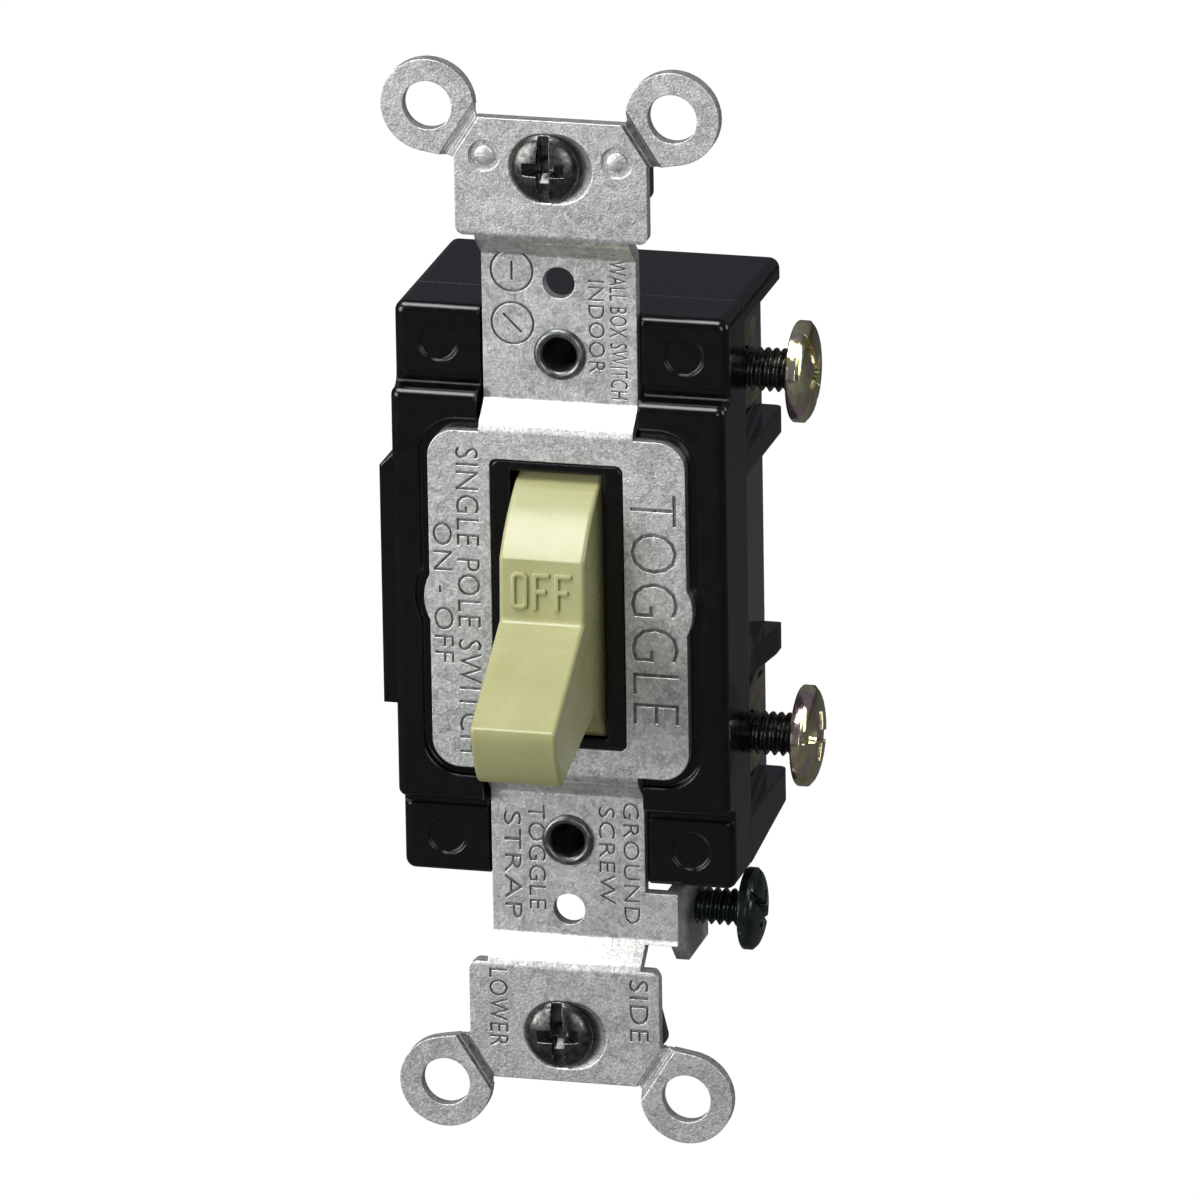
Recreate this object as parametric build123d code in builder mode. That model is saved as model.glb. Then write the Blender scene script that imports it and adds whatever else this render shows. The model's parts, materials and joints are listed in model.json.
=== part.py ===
from build123d import *
import os
from math import acos, atan2, cos, degrees, radians, sin, tan

# Framed toggle wall switch: a steel strap, a two-piece moulded case, a toggle handle that works
# a rocking contact inside, two side terminals, a ground terminal and the fixing screws.
# Frame: +Z up along the strap, -Y out of the wall towards the hand, +X to the right as seen by
# the hand. Origin: midway between the two mounting screws, on the back face of the strap's end
# plates, the plane that lies against the wall. Millimetres. The handle stands at OFF, lever down.

# ---------------------------------------------------------------- driving dimensions
# overall sizes of the case, which the strap's lengths follow
case_w = 31.4
case_h = 54.8

# strap
sheet = 1.25                    # strap sheet thickness
mount_spacing = case_h + 28.54  # between the mounting screws: 83.34
plate_hole_spacing = case_h + 5.53      # between the wall-plate screw holes: 60.33
plate_hole_r = 1.5              # tapped 6-32
end_plate_w = 18.0
end_plate_foot = case_h / 2 + 7.6       # inner edge of an end plate
end_plate_top = end_plate_foot + 11.2   # outer edge of an end plate
end_corner_r = 0.8
recess_w = 14.5                 # width of the set-back runs between end and centre plates
recess_step = 2.4               # set-back run behind the end plates
centre_step = 2.2               # centre plate in front of the set-back runs
joggle_run = 2.0                # length of strap that each joggle takes
centre_plate_w = 24.2
centre_plate_h = 32.4
centre_corner_r = 2.6
bulge_r = 4.6                   # rounded bulges at mid-height of the centre plate
bulge_out = 0.55
window_w = 12.56
window_h = 27.4
window_r = 0.7
bend_r = 0.9                    # bend radius at the sheet's mid-plane
ear_x = 11.45                   # break-off ears
ear_z = end_plate_top + 0.85
ear_r = 4.35
ear_hole_r = 2.3
score_in_x, score_in_z = 7.1, end_plate_top + 0.4      # ends of the line where an ear snaps off
score_out_x, score_out_z = 9.8, end_plate_top - 3.85
score_w = 0.7
score_depth = 0.3
dimple_x, dimple_z, dimple_r, dimple_depth = 6.2, end_plate_top - 3.6, 1.46, 0.3
dish_r = 3.35                   # dished screw slot, radius at the face
slot_r = 2.05                   # and at the back
slot_shift = 1.25               # between the centres of the slot's ends
tab_top = case_h / 2 + 0.7              # ground tab, below the case
tab_neck_foot, tab_foot = tab_top + 4.9, tab_top + 7.7
tab_back = 12.5
tab_chamfer_y = 5.2
tab_out_x = 10.3

# case
pad_y = 1.4                     # front of the four corner pads
rail_y = -0.6                   # front of the raised rails beside the centre plate
rail_end = 19.75                # ends of the rails
rail_gap = 1.0                  # moat between the centre plate and the rails
groove_w, groove_depth = 1.1, 0.35      # groove between a rail's end and the pad beyond
part_y = 7.8                    # plane between cover and base
back_y = 22.0
base_foot_front, base_foot_back = case_h / 2 - 0.6, case_h / 2 - 2.2
wall = 1.7
case_corner_r = 1.0
edge_r = 0.8
strap_gap = 0.35                # clearance beside the strap in its channel
collar_y = -0.9                 # front of the collar round the handle
collar_w = 12.3
collar_h = 27.1
rib_out, rib_top, rib_foot, rib_y = 1.4, 13.3, 11.0, 0.6
side_back_x = case_w / 2 - 2.0  # the terminal side leans in to this at the back
fin_tops = (13.0, -8.1, 5.2 - case_h / 2)
fin_feet = (case_h / 2 - 2.0, 10.6, -10.6)
mid_fin_x = case_w / 2 - 0.4
cavity_w = 14.4
cavity_h = 40.0

# handle
pivot_y = 5.5
throw = 45.0
handle_w = 8.0
barrel_r = 13.8
barrel_half = 92.0              # degrees from the lever's middle to the barrel's end
facet_b = 0.755 * barrel_r      # where the lettered face leaves the barrel
lever_root_a, lever_root_b = barrel_r - 2.3, 5.15
lever_tip_a, lever_tip_b, lever_crown = barrel_r + 10.4, 3.25, 0.7
tail_a, tail_b, saddle_a = -5.0, 2.2, -0.5
lever_edge_r = 0.45
trunnion_r = 1.6
trunnion_half = 5.9
run_gap = 0.05                  # radial running clearance
well_gap = 0.4                  # barrel and sides clear of the case
plunger_r = 1.38
bore_r = plunger_r + 0.07
bore_end_a = 3.5
plunger_tip_a, plunger_head_a = -7.2, -2.4
spring_wire_r = 0.15
spring_turns = 6
spring_gap = 0.1                # between the spring's ends and what it bears on

# switching parts
rocker_y = 14.6
rocker_sheet = 0.8
rocker_w = 4.4
rocker_up, rocker_down = 6.5, 10.2
rocker_hub_r = 1.5
rocker_throw = 14.0
pin_r = 0.8
pin_half = 3.9
contact_z = -8.5
moving_contact_r, moving_contact_h = 1.6, 0.8
contact_gap = 0.5
brass = 1.2                     # terminal sheet
leg_y = 17.9                    # front face of the terminals' inner legs
leg_h = 2.3
line_z, load_z = 19.2, -16.0    # terminal screws
terminal_y = 13.3
terminal_x = case_w / 2 - 1.3   # outer face of the terminal plates
plate_y_size, plate_z_size = 7.4, 8.2
ear_gap, ear_sheet, ear_half_z, ear_front_y = 0.4, 1.0, 1.9, 13.4
bumper_in, bumper_out, bumper_t = barrel_r - 4.3, barrel_r - 1.3, 1.2
bumper_gap = 0.3
post_half_z = 1.55
ledge_back_y = 13.4

# fasteners
rivet_z = case_h / 2 - 4.0
rivet_tube_r, rivet_bore_r, rivet_flange_r, rivet_roll = 1.95, 1.6, 2.45, 0.6
screw_r, head_r, screw_length, screw_dome = 1.75, 3.2, 9.9, 0.75
screw_neck_r = 1.35             # plain neck under the head, where the washer rides
screw_x = -0.55                 # both mounting screws lie towards one end of their slots
washer_half_z, washer_t, washer_left, washer_right = 3.0, 0.8, 7.0, 9.7
washer_turn = 13.5              # the lower washer has slewed round on its screw
terminal_screw_r, terminal_head_r, terminal_head_x = 2.05, 4.7, case_w / 2 + 3.45
terminal_head_h, terminal_dome, terminal_tip_x = 0.9, 0.75, case_w / 2 - 3.7
ground_y, ground_z = 9.0, -case_h / 2 - 4.3
ground_screw_r, ground_head_r, ground_head_x = 1.7, 3.83, 14.8
ground_head_h, ground_dome, ground_tip_x = 0.8, 0.75, 8.4
slot_w, slot_depth = 1.1, 0.9
tip_chamfer = 0.45

# ---------------------------------------------------------------- worked-out values
end_y = -sheet                              # front face of the end plates
recess_y = end_y + recess_step              # front face of the set-back runs
centre_y = recess_y - centre_step           # front face of the centre plate
recess_back = recess_y + sheet
centre_back = centre_y + sheet
bend_run = bend_r * tan(radians(22.5))      # from a bend's start to its corner, for 45 degrees
centre_joggle = centre_plate_h / 2 + bend_run   # joggles start at the centre plate's edges
tilt = radians(throw / 2)
half_w = case_w / 2
half_h = case_h / 2
barrel_end = radians(barrel_half)
facet_a = (barrel_r**2 - facet_b**2) ** 0.5
well_r = barrel_r + well_gap
well_half = handle_w / 2 + well_gap
fixed_contact_y = (rocker_y + rocker_sheet / 2 + moving_contact_h
                   - contact_z * sin(radians(rocker_throw / 2)) + contact_gap)
ear_in_x = rocker_w / 2 + ear_gap


def front(y):
    """Plane facing the hand at depth y: local x is X, local y is Z, outwards is -Y."""
    return Plane(origin=(0, y, 0), x_dir=(1, 0, 0), z_dir=(0, -1, 0))


def side(x):
    """Plane facing +X at x: local x is Y, local y is Z."""
    return Plane(origin=(x, 0, 0), x_dir=(0, 1, 0), z_dir=(1, 0, 0))


def lever_point(a, b):
    """Y and Z of a point a out along the lever's middle line and b above it, at OFF."""
    out = a * cos(tilt) + b * sin(tilt)
    up = -a * sin(tilt) + b * cos(tilt)
    return (pivot_y - out, up)


def ear_tangent(px, pz, turn):
    """Point of an ear's edge where the tangent from (px, pz) touches it."""
    towards = atan2(pz - ear_z, px - ear_x)
    span = ((px - ear_x) ** 2 + (pz - ear_z) ** 2) ** 0.5
    angle = towards + turn * acos(ear_r / span)
    return (ear_x + ear_r * cos(angle), ear_z + ear_r * sin(angle))


def plate_outline(grow):
    """Centre plate's outline, grown by a clearance: rounded corners and a bulge each side."""
    RectangleRounded(centre_plate_w + 2 * grow, centre_plate_h + 2 * grow, centre_corner_r + grow)
    bulge_x = centre_plate_w / 2 + bulge_out - bulge_r
    with Locations((bulge_x, 0), (-bulge_x, 0)):
        Circle(bulge_r + grow)


def save(piece, name):
    """Label a finished piece and write it."""
    piece.label = name
    export_step(piece, f"parts/{name}.step")


os.makedirs("parts", exist_ok=True)

# ---------------------------------------------------------------- strap
mid_end = end_y + sheet / 2
mid_recess = recess_y + sheet / 2
mid_centre = centre_y + sheet / 2
strap_reach = ear_z + ear_r + 1
half_run = [(mid_centre, centre_joggle), (mid_recess, centre_joggle + joggle_run),
            (mid_recess, end_plate_foot - joggle_run), (mid_end, end_plate_foot),
            (mid_end, strap_reach)]
strap_run = [(y, -z) for y, z in reversed(half_run)] + half_run

with BuildPart() as strap:
    with BuildLine(Plane.YZ):
        FilletPolyline(*strap_run, radius=bend_r)
    with BuildSketch(Plane(origin=(0, mid_end, -strap_reach), x_dir=(1, 0, 0), z_dir=(0, 0, 1))):
        Rectangle(4 * tab_out_x, sheet)
    sweep()
    with BuildSketch(front(-2 * sheet)):
        Rectangle(recess_w, 2 * end_plate_foot + 2)
        plate_outline(0)
        for up in (1, -1):
            with Locations((0, up * (end_plate_foot + end_plate_top) / 2)):
                RectangleRounded(end_plate_w, end_plate_top - end_plate_foot, end_corner_r)
            for right in (1, -1):
                cut = [(score_in_x, score_in_z), (score_out_x, score_out_z),
                       (score_out_x, end_plate_top + 1), (score_in_x, end_plate_top + 1)]
                with BuildLine():
                    Polyline(*[(right * x, up * z) for x, z in cut], close=True)
                make_face(mode=Mode.SUBTRACT)
                web = [(score_in_x, score_in_z), ear_tangent(score_in_x, score_in_z, -1),
                       (ear_x, ear_z), ear_tangent(score_out_x, score_out_z, 1),
                       (score_out_x, score_out_z), (score_in_x - 1, score_out_z)]
                with BuildLine():
                    Polyline(*[(right * x, up * z) for x, z in web], close=True)
                make_face()
                with Locations((right * ear_x, up * ear_z)):
                    Circle(ear_r)
        with Locations((tab_out_x / 2, -(tab_top + tab_neck_foot) / 2)):
            Rectangle(tab_out_x, tab_neck_foot - tab_top)
        RectangleRounded(window_w, window_h, window_r, mode=Mode.SUBTRACT)
        with Locations((0, plate_hole_spacing / 2), (0, -plate_hole_spacing / 2)):
            Circle(plate_hole_r, mode=Mode.SUBTRACT)
        with Locations((0, rivet_z), (0, -rivet_z)):
            Circle(rivet_tube_r + run_gap, mode=Mode.SUBTRACT)
        with Locations(*[(x, z) for x in (ear_x, -ear_x) for z in (ear_z, -ear_z)]):
            Circle(ear_hole_r, mode=Mode.SUBTRACT)
    extrude(amount=-(recess_back + 3 * sheet), mode=Mode.INTERSECT)
    # dished slots for the mounting screws
    for up in (1, -1):
        with BuildSketch(front(end_y)) as dish_face:
            with Locations((0, up * mount_spacing / 2)):
                SlotCenterToCenter(slot_shift, 2 * dish_r)
        with BuildSketch(front(0)) as dish_back:
            with Locations((0, up * mount_spacing / 2)):
                SlotCenterToCenter(slot_shift, 2 * slot_r)
        loft(mode=Mode.SUBTRACT)
    # lines where the ears snap off, on both faces
    score_angle = degrees(atan2(score_out_z - score_in_z, score_out_x - score_in_x))
    score_x, score_z = (score_in_x + score_out_x) / 2, (score_in_z + score_out_z) / 2
    for face_y, into in ((end_y, -score_depth), (0, score_depth)):
        with BuildSketch(front(face_y)):
            for right in (1, -1):
                for up in (1, -1):
                    with Locations(Location((right * score_x, up * score_z), right * up * score_angle)):
                        Rectangle(2 * ear_r, score_w)
        extrude(amount=into, mode=Mode.SUBTRACT)
    # two half-sheared dimples beside the upper screw
    with BuildSketch(front(end_y)):
        with Locations((dimple_x, dimple_z), (-dimple_x, dimple_z)):
            Circle(dimple_r)
    extrude(amount=-dimple_depth, mode=Mode.SUBTRACT)
    # ground tab, bent back from the lower set-back run
    with BuildSketch(side(tab_out_x - sheet)):
        with BuildLine():
            Polyline((recess_y, -tab_top), (tab_back, -tab_top), (tab_back, -tab_foot),
                     (tab_chamfer_y, -tab_foot), (recess_back, -tab_neck_foot),
                     (recess_y, -tab_neck_foot), close=True)
        make_face()
        with Locations((ground_y, ground_z)):
            Circle(ground_screw_r + run_gap, mode=Mode.SUBTRACT)
    extrude(amount=sheet)
save(strap.part, "strap")

# ---------------------------------------------------------------- front cover
with BuildPart() as front_cover:
    with BuildSketch(front(pad_y)):
        RectangleRounded(case_w, case_h, case_corner_r)
    extrude(amount=-(part_y - pad_y))
    with BuildSketch(front(rail_y)):
        Rectangle(case_w, 2 * rail_end)
    extrude(amount=-(pad_y - rail_y))
    front_edges = front_cover.edges().filter_by_position(Axis.Y, rail_y - 0.01, pad_y + 0.01)
    fillet(front_edges, radius=edge_r)
    # grooves between the rails' ends and the pads
    with BuildSketch(side(-half_w - 1)):
        for up in (1, -1):
            with Locations((pad_y, up * (rail_end + groove_w / 2))):
                Rectangle(2 * groove_depth, groove_w)
    extrude(amount=case_w + 2, mode=Mode.SUBTRACT)
    # rib down the left side
    with BuildSketch(front(rib_y)):
        with BuildLine():
            Polyline((-half_w, rib_top), (-half_w - rib_out, rib_top - rib_out),
                     (-half_w - rib_out, -rib_foot), (-half_w, -rib_foot), (-half_w + 1, -rib_foot),
                     (-half_w + 1, rib_top), close=True)
        make_face()
    extrude(amount=-(part_y - rib_y))
    # bed for the centre plate and channels for the set-back runs
    with BuildSketch(front(rail_y)):
        plate_outline(rail_gap)
    extrude(amount=-(centre_back - rail_y), mode=Mode.SUBTRACT)
    channel_in = centre_plate_h / 2 - strap_gap
    with BuildSketch(front(rail_y)):
        for up in (1, -1):
            with Locations((0, up * (channel_in + half_h) / 2)):
                Rectangle(recess_w + 2 * strap_gap, half_h - channel_in)
    extrude(amount=-(recess_back - rail_y), mode=Mode.SUBTRACT)
    # collar round the handle, and the well the barrel turns in
    with BuildSketch(front(collar_y)):
        RectangleRounded(collar_w, collar_h, window_r)
    extrude(amount=-(recess_back - collar_y))
    with BuildSketch(side(-well_half)):
        with Locations((pivot_y, 0)):
            Circle(well_r)
    extrude(amount=2 * well_half, mode=Mode.SUBTRACT)
    # half bearings for the trunnions, open to the back
    with BuildSketch(side(-trunnion_half - well_gap)):
        with Locations((pivot_y, 0)):
            Circle(trunnion_r + run_gap)
        with Locations(((pivot_y + part_y) / 2, 0)):
            Rectangle(part_y - pivot_y, 2 * (trunnion_r + run_gap))
    extrude(amount=2 * (trunnion_half + well_gap), mode=Mode.SUBTRACT)
    # rivet holes and hollow corners
    with BuildSketch(front(pad_y)):
        with Locations((0, rivet_z), (0, -rivet_z)):
            Circle(rivet_tube_r + run_gap)
    extrude(amount=-(part_y - pad_y), mode=Mode.SUBTRACT)
    pocket_in = recess_w / 2 + strap_gap + wall
    pocket_out = half_w - wall
    pocket_front = recess_back + wall
    with BuildSketch(front(pocket_front)):
        for right in (1, -1):
            for low, high in ((rail_end + wall / 2, half_h - wall),
                              (-half_h + wall, -rail_end - wall / 2),
                              (2 * trunnion_r, rail_end - wall / 2),
                              (-rail_end + wall / 2, -2 * trunnion_r)):
                with Locations((right * (pocket_in + pocket_out) / 2, (low + high) / 2)):
                    Rectangle(pocket_out - pocket_in, high - low)
    extrude(amount=-(part_y - pocket_front), mode=Mode.SUBTRACT)
save(front_cover.part, "front_cover")

# ---------------------------------------------------------------- base housing
with BuildPart() as base_housing:
    with BuildSketch(side(-half_w)):
        with BuildLine():
            Polyline((part_y, half_h), (back_y, half_h), (back_y, -base_foot_back),
                     (part_y, -base_foot_front), close=True)
        make_face()
    extrude(amount=case_w)
    fillet(base_housing.edges().filter_by(Axis.Y), radius=case_corner_r)
    fillet(base_housing.faces().sort_by(Axis.Y)[-1].edges(), radius=edge_r)
    # the terminal side leans inwards between the fins
    lean_x = half_w - 0.25
    for top, foot in zip(fin_feet, fin_tops):
        with BuildSketch(Plane.XY.offset(foot)):
            with BuildLine():
                Polyline((lean_x, part_y), (side_back_x, back_y), (side_back_x, back_y + 1),
                         (half_w + 1, back_y + 1), (half_w + 1, part_y), close=True)
            make_face()
        extrude(amount=top - foot, mode=Mode.SUBTRACT)
    mid_foot, mid_top = fin_feet[2], fin_tops[1]
    with BuildSketch(Plane.XY.offset(mid_foot)):
        with BuildLine():
            Polyline((lean_x, part_y), (mid_fin_x - 1, (part_y + back_y) / 2 - 2), (mid_fin_x, back_y - 2),
                     (mid_fin_x, back_y + 1), (half_w + 1, back_y + 1), (half_w + 1, part_y), close=True)
        make_face()
    extrude(amount=mid_top - mid_foot, mode=Mode.SUBTRACT)
    # cavity for the works
    with BuildSketch(front(part_y)):
        Rectangle(cavity_w, cavity_h)
    extrude(amount=-(back_y - wall - part_y), mode=Mode.SUBTRACT)
    # hollows behind the plain side
    with BuildSketch(front(part_y)):
        for low, high in ((wall, cavity_h / 2), (-cavity_h / 2, -wall)):
            with Locations((-(cavity_w / 2 + half_w) / 2, (low + high) / 2)):
                Rectangle(half_w - cavity_w / 2 - 2 * wall, high - low)
    extrude(amount=-(back_y - wall - part_y), mode=Mode.SUBTRACT)
    # terminal pockets, room for the screws' points, and slots for the inner legs
    for screw_z, leg_low in ((line_z, line_z - plate_z_size / 2),
                             (load_z, load_z + plate_z_size / 2 - leg_h)):
        pocket_y = (terminal_y - plate_y_size / 2 + leg_y + brass) / 2
        with BuildSketch(side(terminal_x - brass)):
            with Locations((terminal_y, screw_z)):
                Rectangle(plate_y_size + 0.2, plate_z_size + 0.2)
            with Locations((pocket_y, leg_low + leg_h / 2)):
                Rectangle(leg_y + brass - terminal_y + plate_y_size / 2 + 0.2, leg_h + 0.2)
        extrude(amount=2 * brass, mode=Mode.SUBTRACT)
        with BuildSketch(side(cavity_w / 2 - 1)):
            with Locations((terminal_y, screw_z)):
                Circle(terminal_screw_r + well_gap)
            with Locations((leg_y + brass / 2, leg_low + leg_h / 2)):
                Rectangle(brass + 0.2, leg_h + 0.2)
        extrude(amount=terminal_x - cavity_w / 2 + 1, mode=Mode.SUBTRACT)
    # rivet holes
    with BuildSketch(front(part_y)):
        with Locations((0, rivet_z), (0, -rivet_z)):
            Circle(rivet_tube_r + run_gap)
    extrude(amount=-(back_y - part_y), mode=Mode.SUBTRACT)
    # posts that close the trunnion bearings, and ledges that carry the bumpers
    post_front = pivot_y + trunnion_r + 2 * run_gap
    for right in (1, -1):
        with BuildSketch(front(post_front)):
            with Locations((right * (well_half + trunnion_half + well_gap) / 2, 0)):
                Rectangle(trunnion_half + well_gap - well_half - 2 * run_gap, 2 * post_half_z)
        extrude(amount=-(part_y - post_front))
        with BuildSketch(front(part_y)):
            with Locations((right * (well_half + cavity_w / 2 + 1) / 2, 0)):
                Rectangle(cavity_w / 2 + 1 - well_half - run_gap, 2 * post_half_z)
        extrude(amount=-(back_y - wall - part_y))
    bumper_back = saddle_a - bumper_gap - bumper_t
    for up in (1, -1):
        near = lever_point(bumper_back, -bumper_in)
        far = lever_point(bumper_back, -bumper_out)
        for low in (-cavity_w / 2 - 0.5, ear_in_x + 0.2):
            with BuildSketch(side(low)):
                with BuildLine():
                    Polyline((near[0], up * near[1]), (ledge_back_y, up * near[1]),
                             (ledge_back_y, up * far[1]), (far[0], up * far[1]), close=True)
                make_face()
            extrude(amount=cavity_w / 2 + 0.5 - ear_in_x - 0.2)
save(base_housing.part, "base_housing")

# ---------------------------------------------------------------- toggle handle
with BuildPart() as toggle_handle:
    with BuildSketch(side(-handle_w / 2)):
        with BuildLine():
            for b_sign in (1, -1):
                tip = lever_point(lever_tip_a, b_sign * lever_tip_b)
                root = lever_point(lever_root_a, b_sign * lever_root_b)
                facet = lever_point(facet_a, b_sign * facet_b)
                half_way = (barrel_end + atan2(facet_b, facet_a)) / 2
                arc_mid = lever_point(barrel_r * cos(half_way), b_sign * barrel_r * sin(half_way))
                arc_end = lever_point(barrel_r * cos(barrel_end), b_sign * barrel_r * sin(barrel_end))
                saddle = lever_point(saddle_a, b_sign * tail_b)
                tail = lever_point(tail_a, b_sign * tail_b)
                Line(tip, root)
                Line(root, facet)
                ThreePointArc(facet, arc_mid, arc_end)
                Line(arc_end, saddle)
                Line(saddle, tail)
            Line(lever_point(tail_a, tail_b), lever_point(tail_a, -tail_b))
            ThreePointArc(lever_point(lever_tip_a, lever_tip_b), lever_point(lever_tip_a + lever_crown, 0),
                          lever_point(lever_tip_a, -lever_tip_b))
        make_face()
    extrude(amount=handle_w)
    tip_y = lever_point(lever_root_a, 0)[0] - 1
    lever_edges = toggle_handle.edges().filter_by(lambda edge: edge.center().Y < tip_y)
    fillet(lever_edges, radius=lever_edge_r)
    with BuildSketch(side(-trunnion_half)):
        with Locations((pivot_y, 0)):
            Circle(trunnion_r)
    extrude(amount=2 * trunnion_half)
    tail_end = lever_point(tail_a, 0)
    along = lever_point(tail_a + 1, 0)
    bore_plane = Plane(origin=(0, tail_end[0], tail_end[1]),
                       z_dir=(0, along[0] - tail_end[0], along[1] - tail_end[1]))
    with BuildSketch(bore_plane):
        Circle(bore_r)
    extrude(amount=bore_end_a - tail_a, mode=Mode.SUBTRACT)
save(toggle_handle.part, "toggle_handle")

# ---------------------------------------------------------------- plunger and its spring
plunger_foot = lever_point(plunger_tip_a + plunger_r, 0)
with BuildPart() as plunger:
    with BuildSketch(Plane(origin=(0, plunger_foot[0], plunger_foot[1]), z_dir=bore_plane.z_dir)):
        Circle(plunger_r)
    extrude(amount=plunger_head_a - plunger_tip_a - plunger_r)
    with Locations((0, plunger_foot[0], plunger_foot[1])):
        Sphere(plunger_r)
save(plunger.part, "plunger")

spring_foot = lever_point(plunger_head_a + spring_gap + spring_wire_r, 0)
spring_height = bore_end_a - plunger_head_a - 2 * (spring_gap + spring_wire_r)
coil_r = bore_r - 2 * spring_wire_r - 0.1
with BuildPart() as plunger_spring:
    with BuildLine():
        coil = Helix(pitch=spring_height / spring_turns, height=spring_height, radius=coil_r,
                     center=(0, spring_foot[0], spring_foot[1]), direction=bore_plane.z_dir)
    with BuildSketch(Plane(origin=coil @ 0, z_dir=coil % 0)):
        Circle(spring_wire_r)
    sweep()
save(plunger_spring.part, "plunger_spring")

# ---------------------------------------------------------------- bumpers under the handle
for up, name in ((1, "upper_bumper"), (-1, "lower_bumper")):
    with BuildPart() as bumper:
        with BuildSketch(side(-handle_w / 2)):
            with BuildLine():
                corners = [(saddle_a - bumper_gap, bumper_in), (saddle_a - bumper_gap, bumper_out),
                           (bumper_back, bumper_out), (bumper_back, bumper_in)]
                Polyline(*[(lever_point(a, -b)[0], -up * lever_point(a, -b)[1]) for a, b in corners],
                         close=True)
            make_face()
        extrude(amount=handle_w)
    save(bumper.part, name)

# ---------------------------------------------------------------- contact rocker, pin and contacts
rocker_turn = radians(rocker_throw / 2)


def rocker_point(y, z):
    """Y and Z, at OFF, of a point of the rocker drawn at mid-throw about its pin."""
    return (rocker_y + y * cos(rocker_turn) + z * sin(rocker_turn),
            -y * sin(rocker_turn) + z * cos(rocker_turn))


with BuildPart() as contact_rocker:
    with BuildSketch(side(-rocker_w / 2)):
        with BuildLine():
            half = rocker_sheet / 2
            Polyline(*[rocker_point(y, z) for y, z in ((-half, rocker_up), (half, rocker_up),
                                                       (half, -rocker_down), (-half, -rocker_down))],
                     close=True)
        make_face()
        with Locations((rocker_y, 0)):
            Circle(rocker_hub_r)
            Circle(pin_r + run_gap, mode=Mode.SUBTRACT)
    extrude(amount=rocker_w)
save(contact_rocker.part, "contact_rocker")

button_seat = rocker_point(rocker_sheet / 2, contact_z)
button_face = rocker_point(rocker_sheet / 2 + 1, contact_z)
with BuildPart() as moving_contact:
    with BuildSketch(Plane(origin=(0, button_seat[0], button_seat[1]),
                           z_dir=(0, button_face[0] - button_seat[0], button_face[1] - button_seat[1]))):
        Circle(moving_contact_r)
    extrude(amount=moving_contact_h)
save(moving_contact.part, "moving_contact")

with BuildPart() as rocker_pin:
    with BuildSketch(side(-pin_half)):
        with Locations((rocker_y, 0)):
            Circle(pin_r)
    extrude(amount=2 * pin_half)
save(rocker_pin.part, "rocker_pin")

with BuildPart() as fixed_contact:
    with BuildSketch(front(leg_y)):
        with Locations((0, contact_z)):
            Circle(moving_contact_r + 0.2)
    extrude(amount=leg_y - fixed_contact_y)
save(fixed_contact.part, "fixed_contact")

# ---------------------------------------------------------------- terminals
saddle_x = ear_in_x + ear_sheet
load_leg_low = load_z + plate_z_size / 2 - leg_h
line_leg_low = line_z - plate_z_size / 2
contact_pad_top = contact_z + moving_contact_r + 0.5


for screw_z, leg_low, leg_end, name in ((load_z, load_leg_low, -moving_contact_r - 1, "load_terminal"),
                                        (line_z, line_leg_low, -saddle_x, "line_terminal")):
    # outer plate with its screw hole, and the leg that runs in to the works
    with BuildPart() as terminal:
        with BuildSketch(side(terminal_x - brass)):
            with Locations((terminal_y, screw_z)):
                Rectangle(plate_y_size, plate_z_size)
            with Locations(((terminal_y + leg_y + brass) / 2, leg_low + leg_h / 2)):
                Rectangle(leg_y + brass - terminal_y, leg_h)
            with Locations((terminal_y, screw_z)):
                Circle(terminal_screw_r + run_gap, mode=Mode.SUBTRACT)
        extrude(amount=brass)
        with BuildSketch(front(leg_y)):
            with Locations(((leg_end + terminal_x) / 2, leg_low + leg_h / 2)):
                Rectangle(terminal_x - leg_end, leg_h)
        extrude(amount=-brass)
        if name == "load_terminal":
            # pad that carries the fixed contact
            with BuildSketch(front(leg_y)):
                with Locations((0, (load_leg_low + contact_pad_top) / 2)):
                    Rectangle(-2 * leg_end, contact_pad_top - load_leg_low)
            extrude(amount=-brass)
        else:
            # saddle: a back plate and the two ears that carry the rocker's pin
            with BuildSketch(front(leg_y)):
                with Locations((0, (line_leg_low + leg_h - ear_half_z) / 2)):
                    Rectangle(2 * saddle_x, line_leg_low + leg_h + ear_half_z)
            extrude(amount=-brass)
            for low in (ear_in_x, -saddle_x):
                with BuildSketch(side(low)):
                    with Locations(((ear_front_y + leg_y) / 2, 0)):
                        Rectangle(leg_y - ear_front_y, 2 * ear_half_z)
                    with Locations((rocker_y, 0)):
                        Circle(pin_r, mode=Mode.SUBTRACT)
                extrude(amount=ear_sheet)
    save(terminal.part, name)

# ---------------------------------------------------------------- hollow rivets
for up, name in ((1, "upper_rivet"), (-1, "lower_rivet")):
    with BuildPart() as rivet:
        with BuildSketch(front(recess_y)):
            with Locations((0, up * rivet_z)):
                Circle(rivet_tube_r)
                Circle(rivet_bore_r, mode=Mode.SUBTRACT)
        extrude(amount=-(back_y - recess_y))
        for face_y, amount in ((recess_y, rivet_roll), (back_y, -rivet_roll)):
            with BuildSketch(front(face_y)):
                with Locations((0, up * rivet_z)):
                    Circle(rivet_flange_r)
                    Circle(rivet_bore_r, mode=Mode.SUBTRACT)
            extrude(amount=amount)
        rims = rivet.edges().filter_by(GeomType.CIRCLE)
        fillet(rims.filter_by_position(Axis.Y, recess_y - rivet_roll - 0.01, recess_y - rivet_roll + 0.01),
               radius=rivet_roll / 2)
    save(rivet.part, name)


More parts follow.
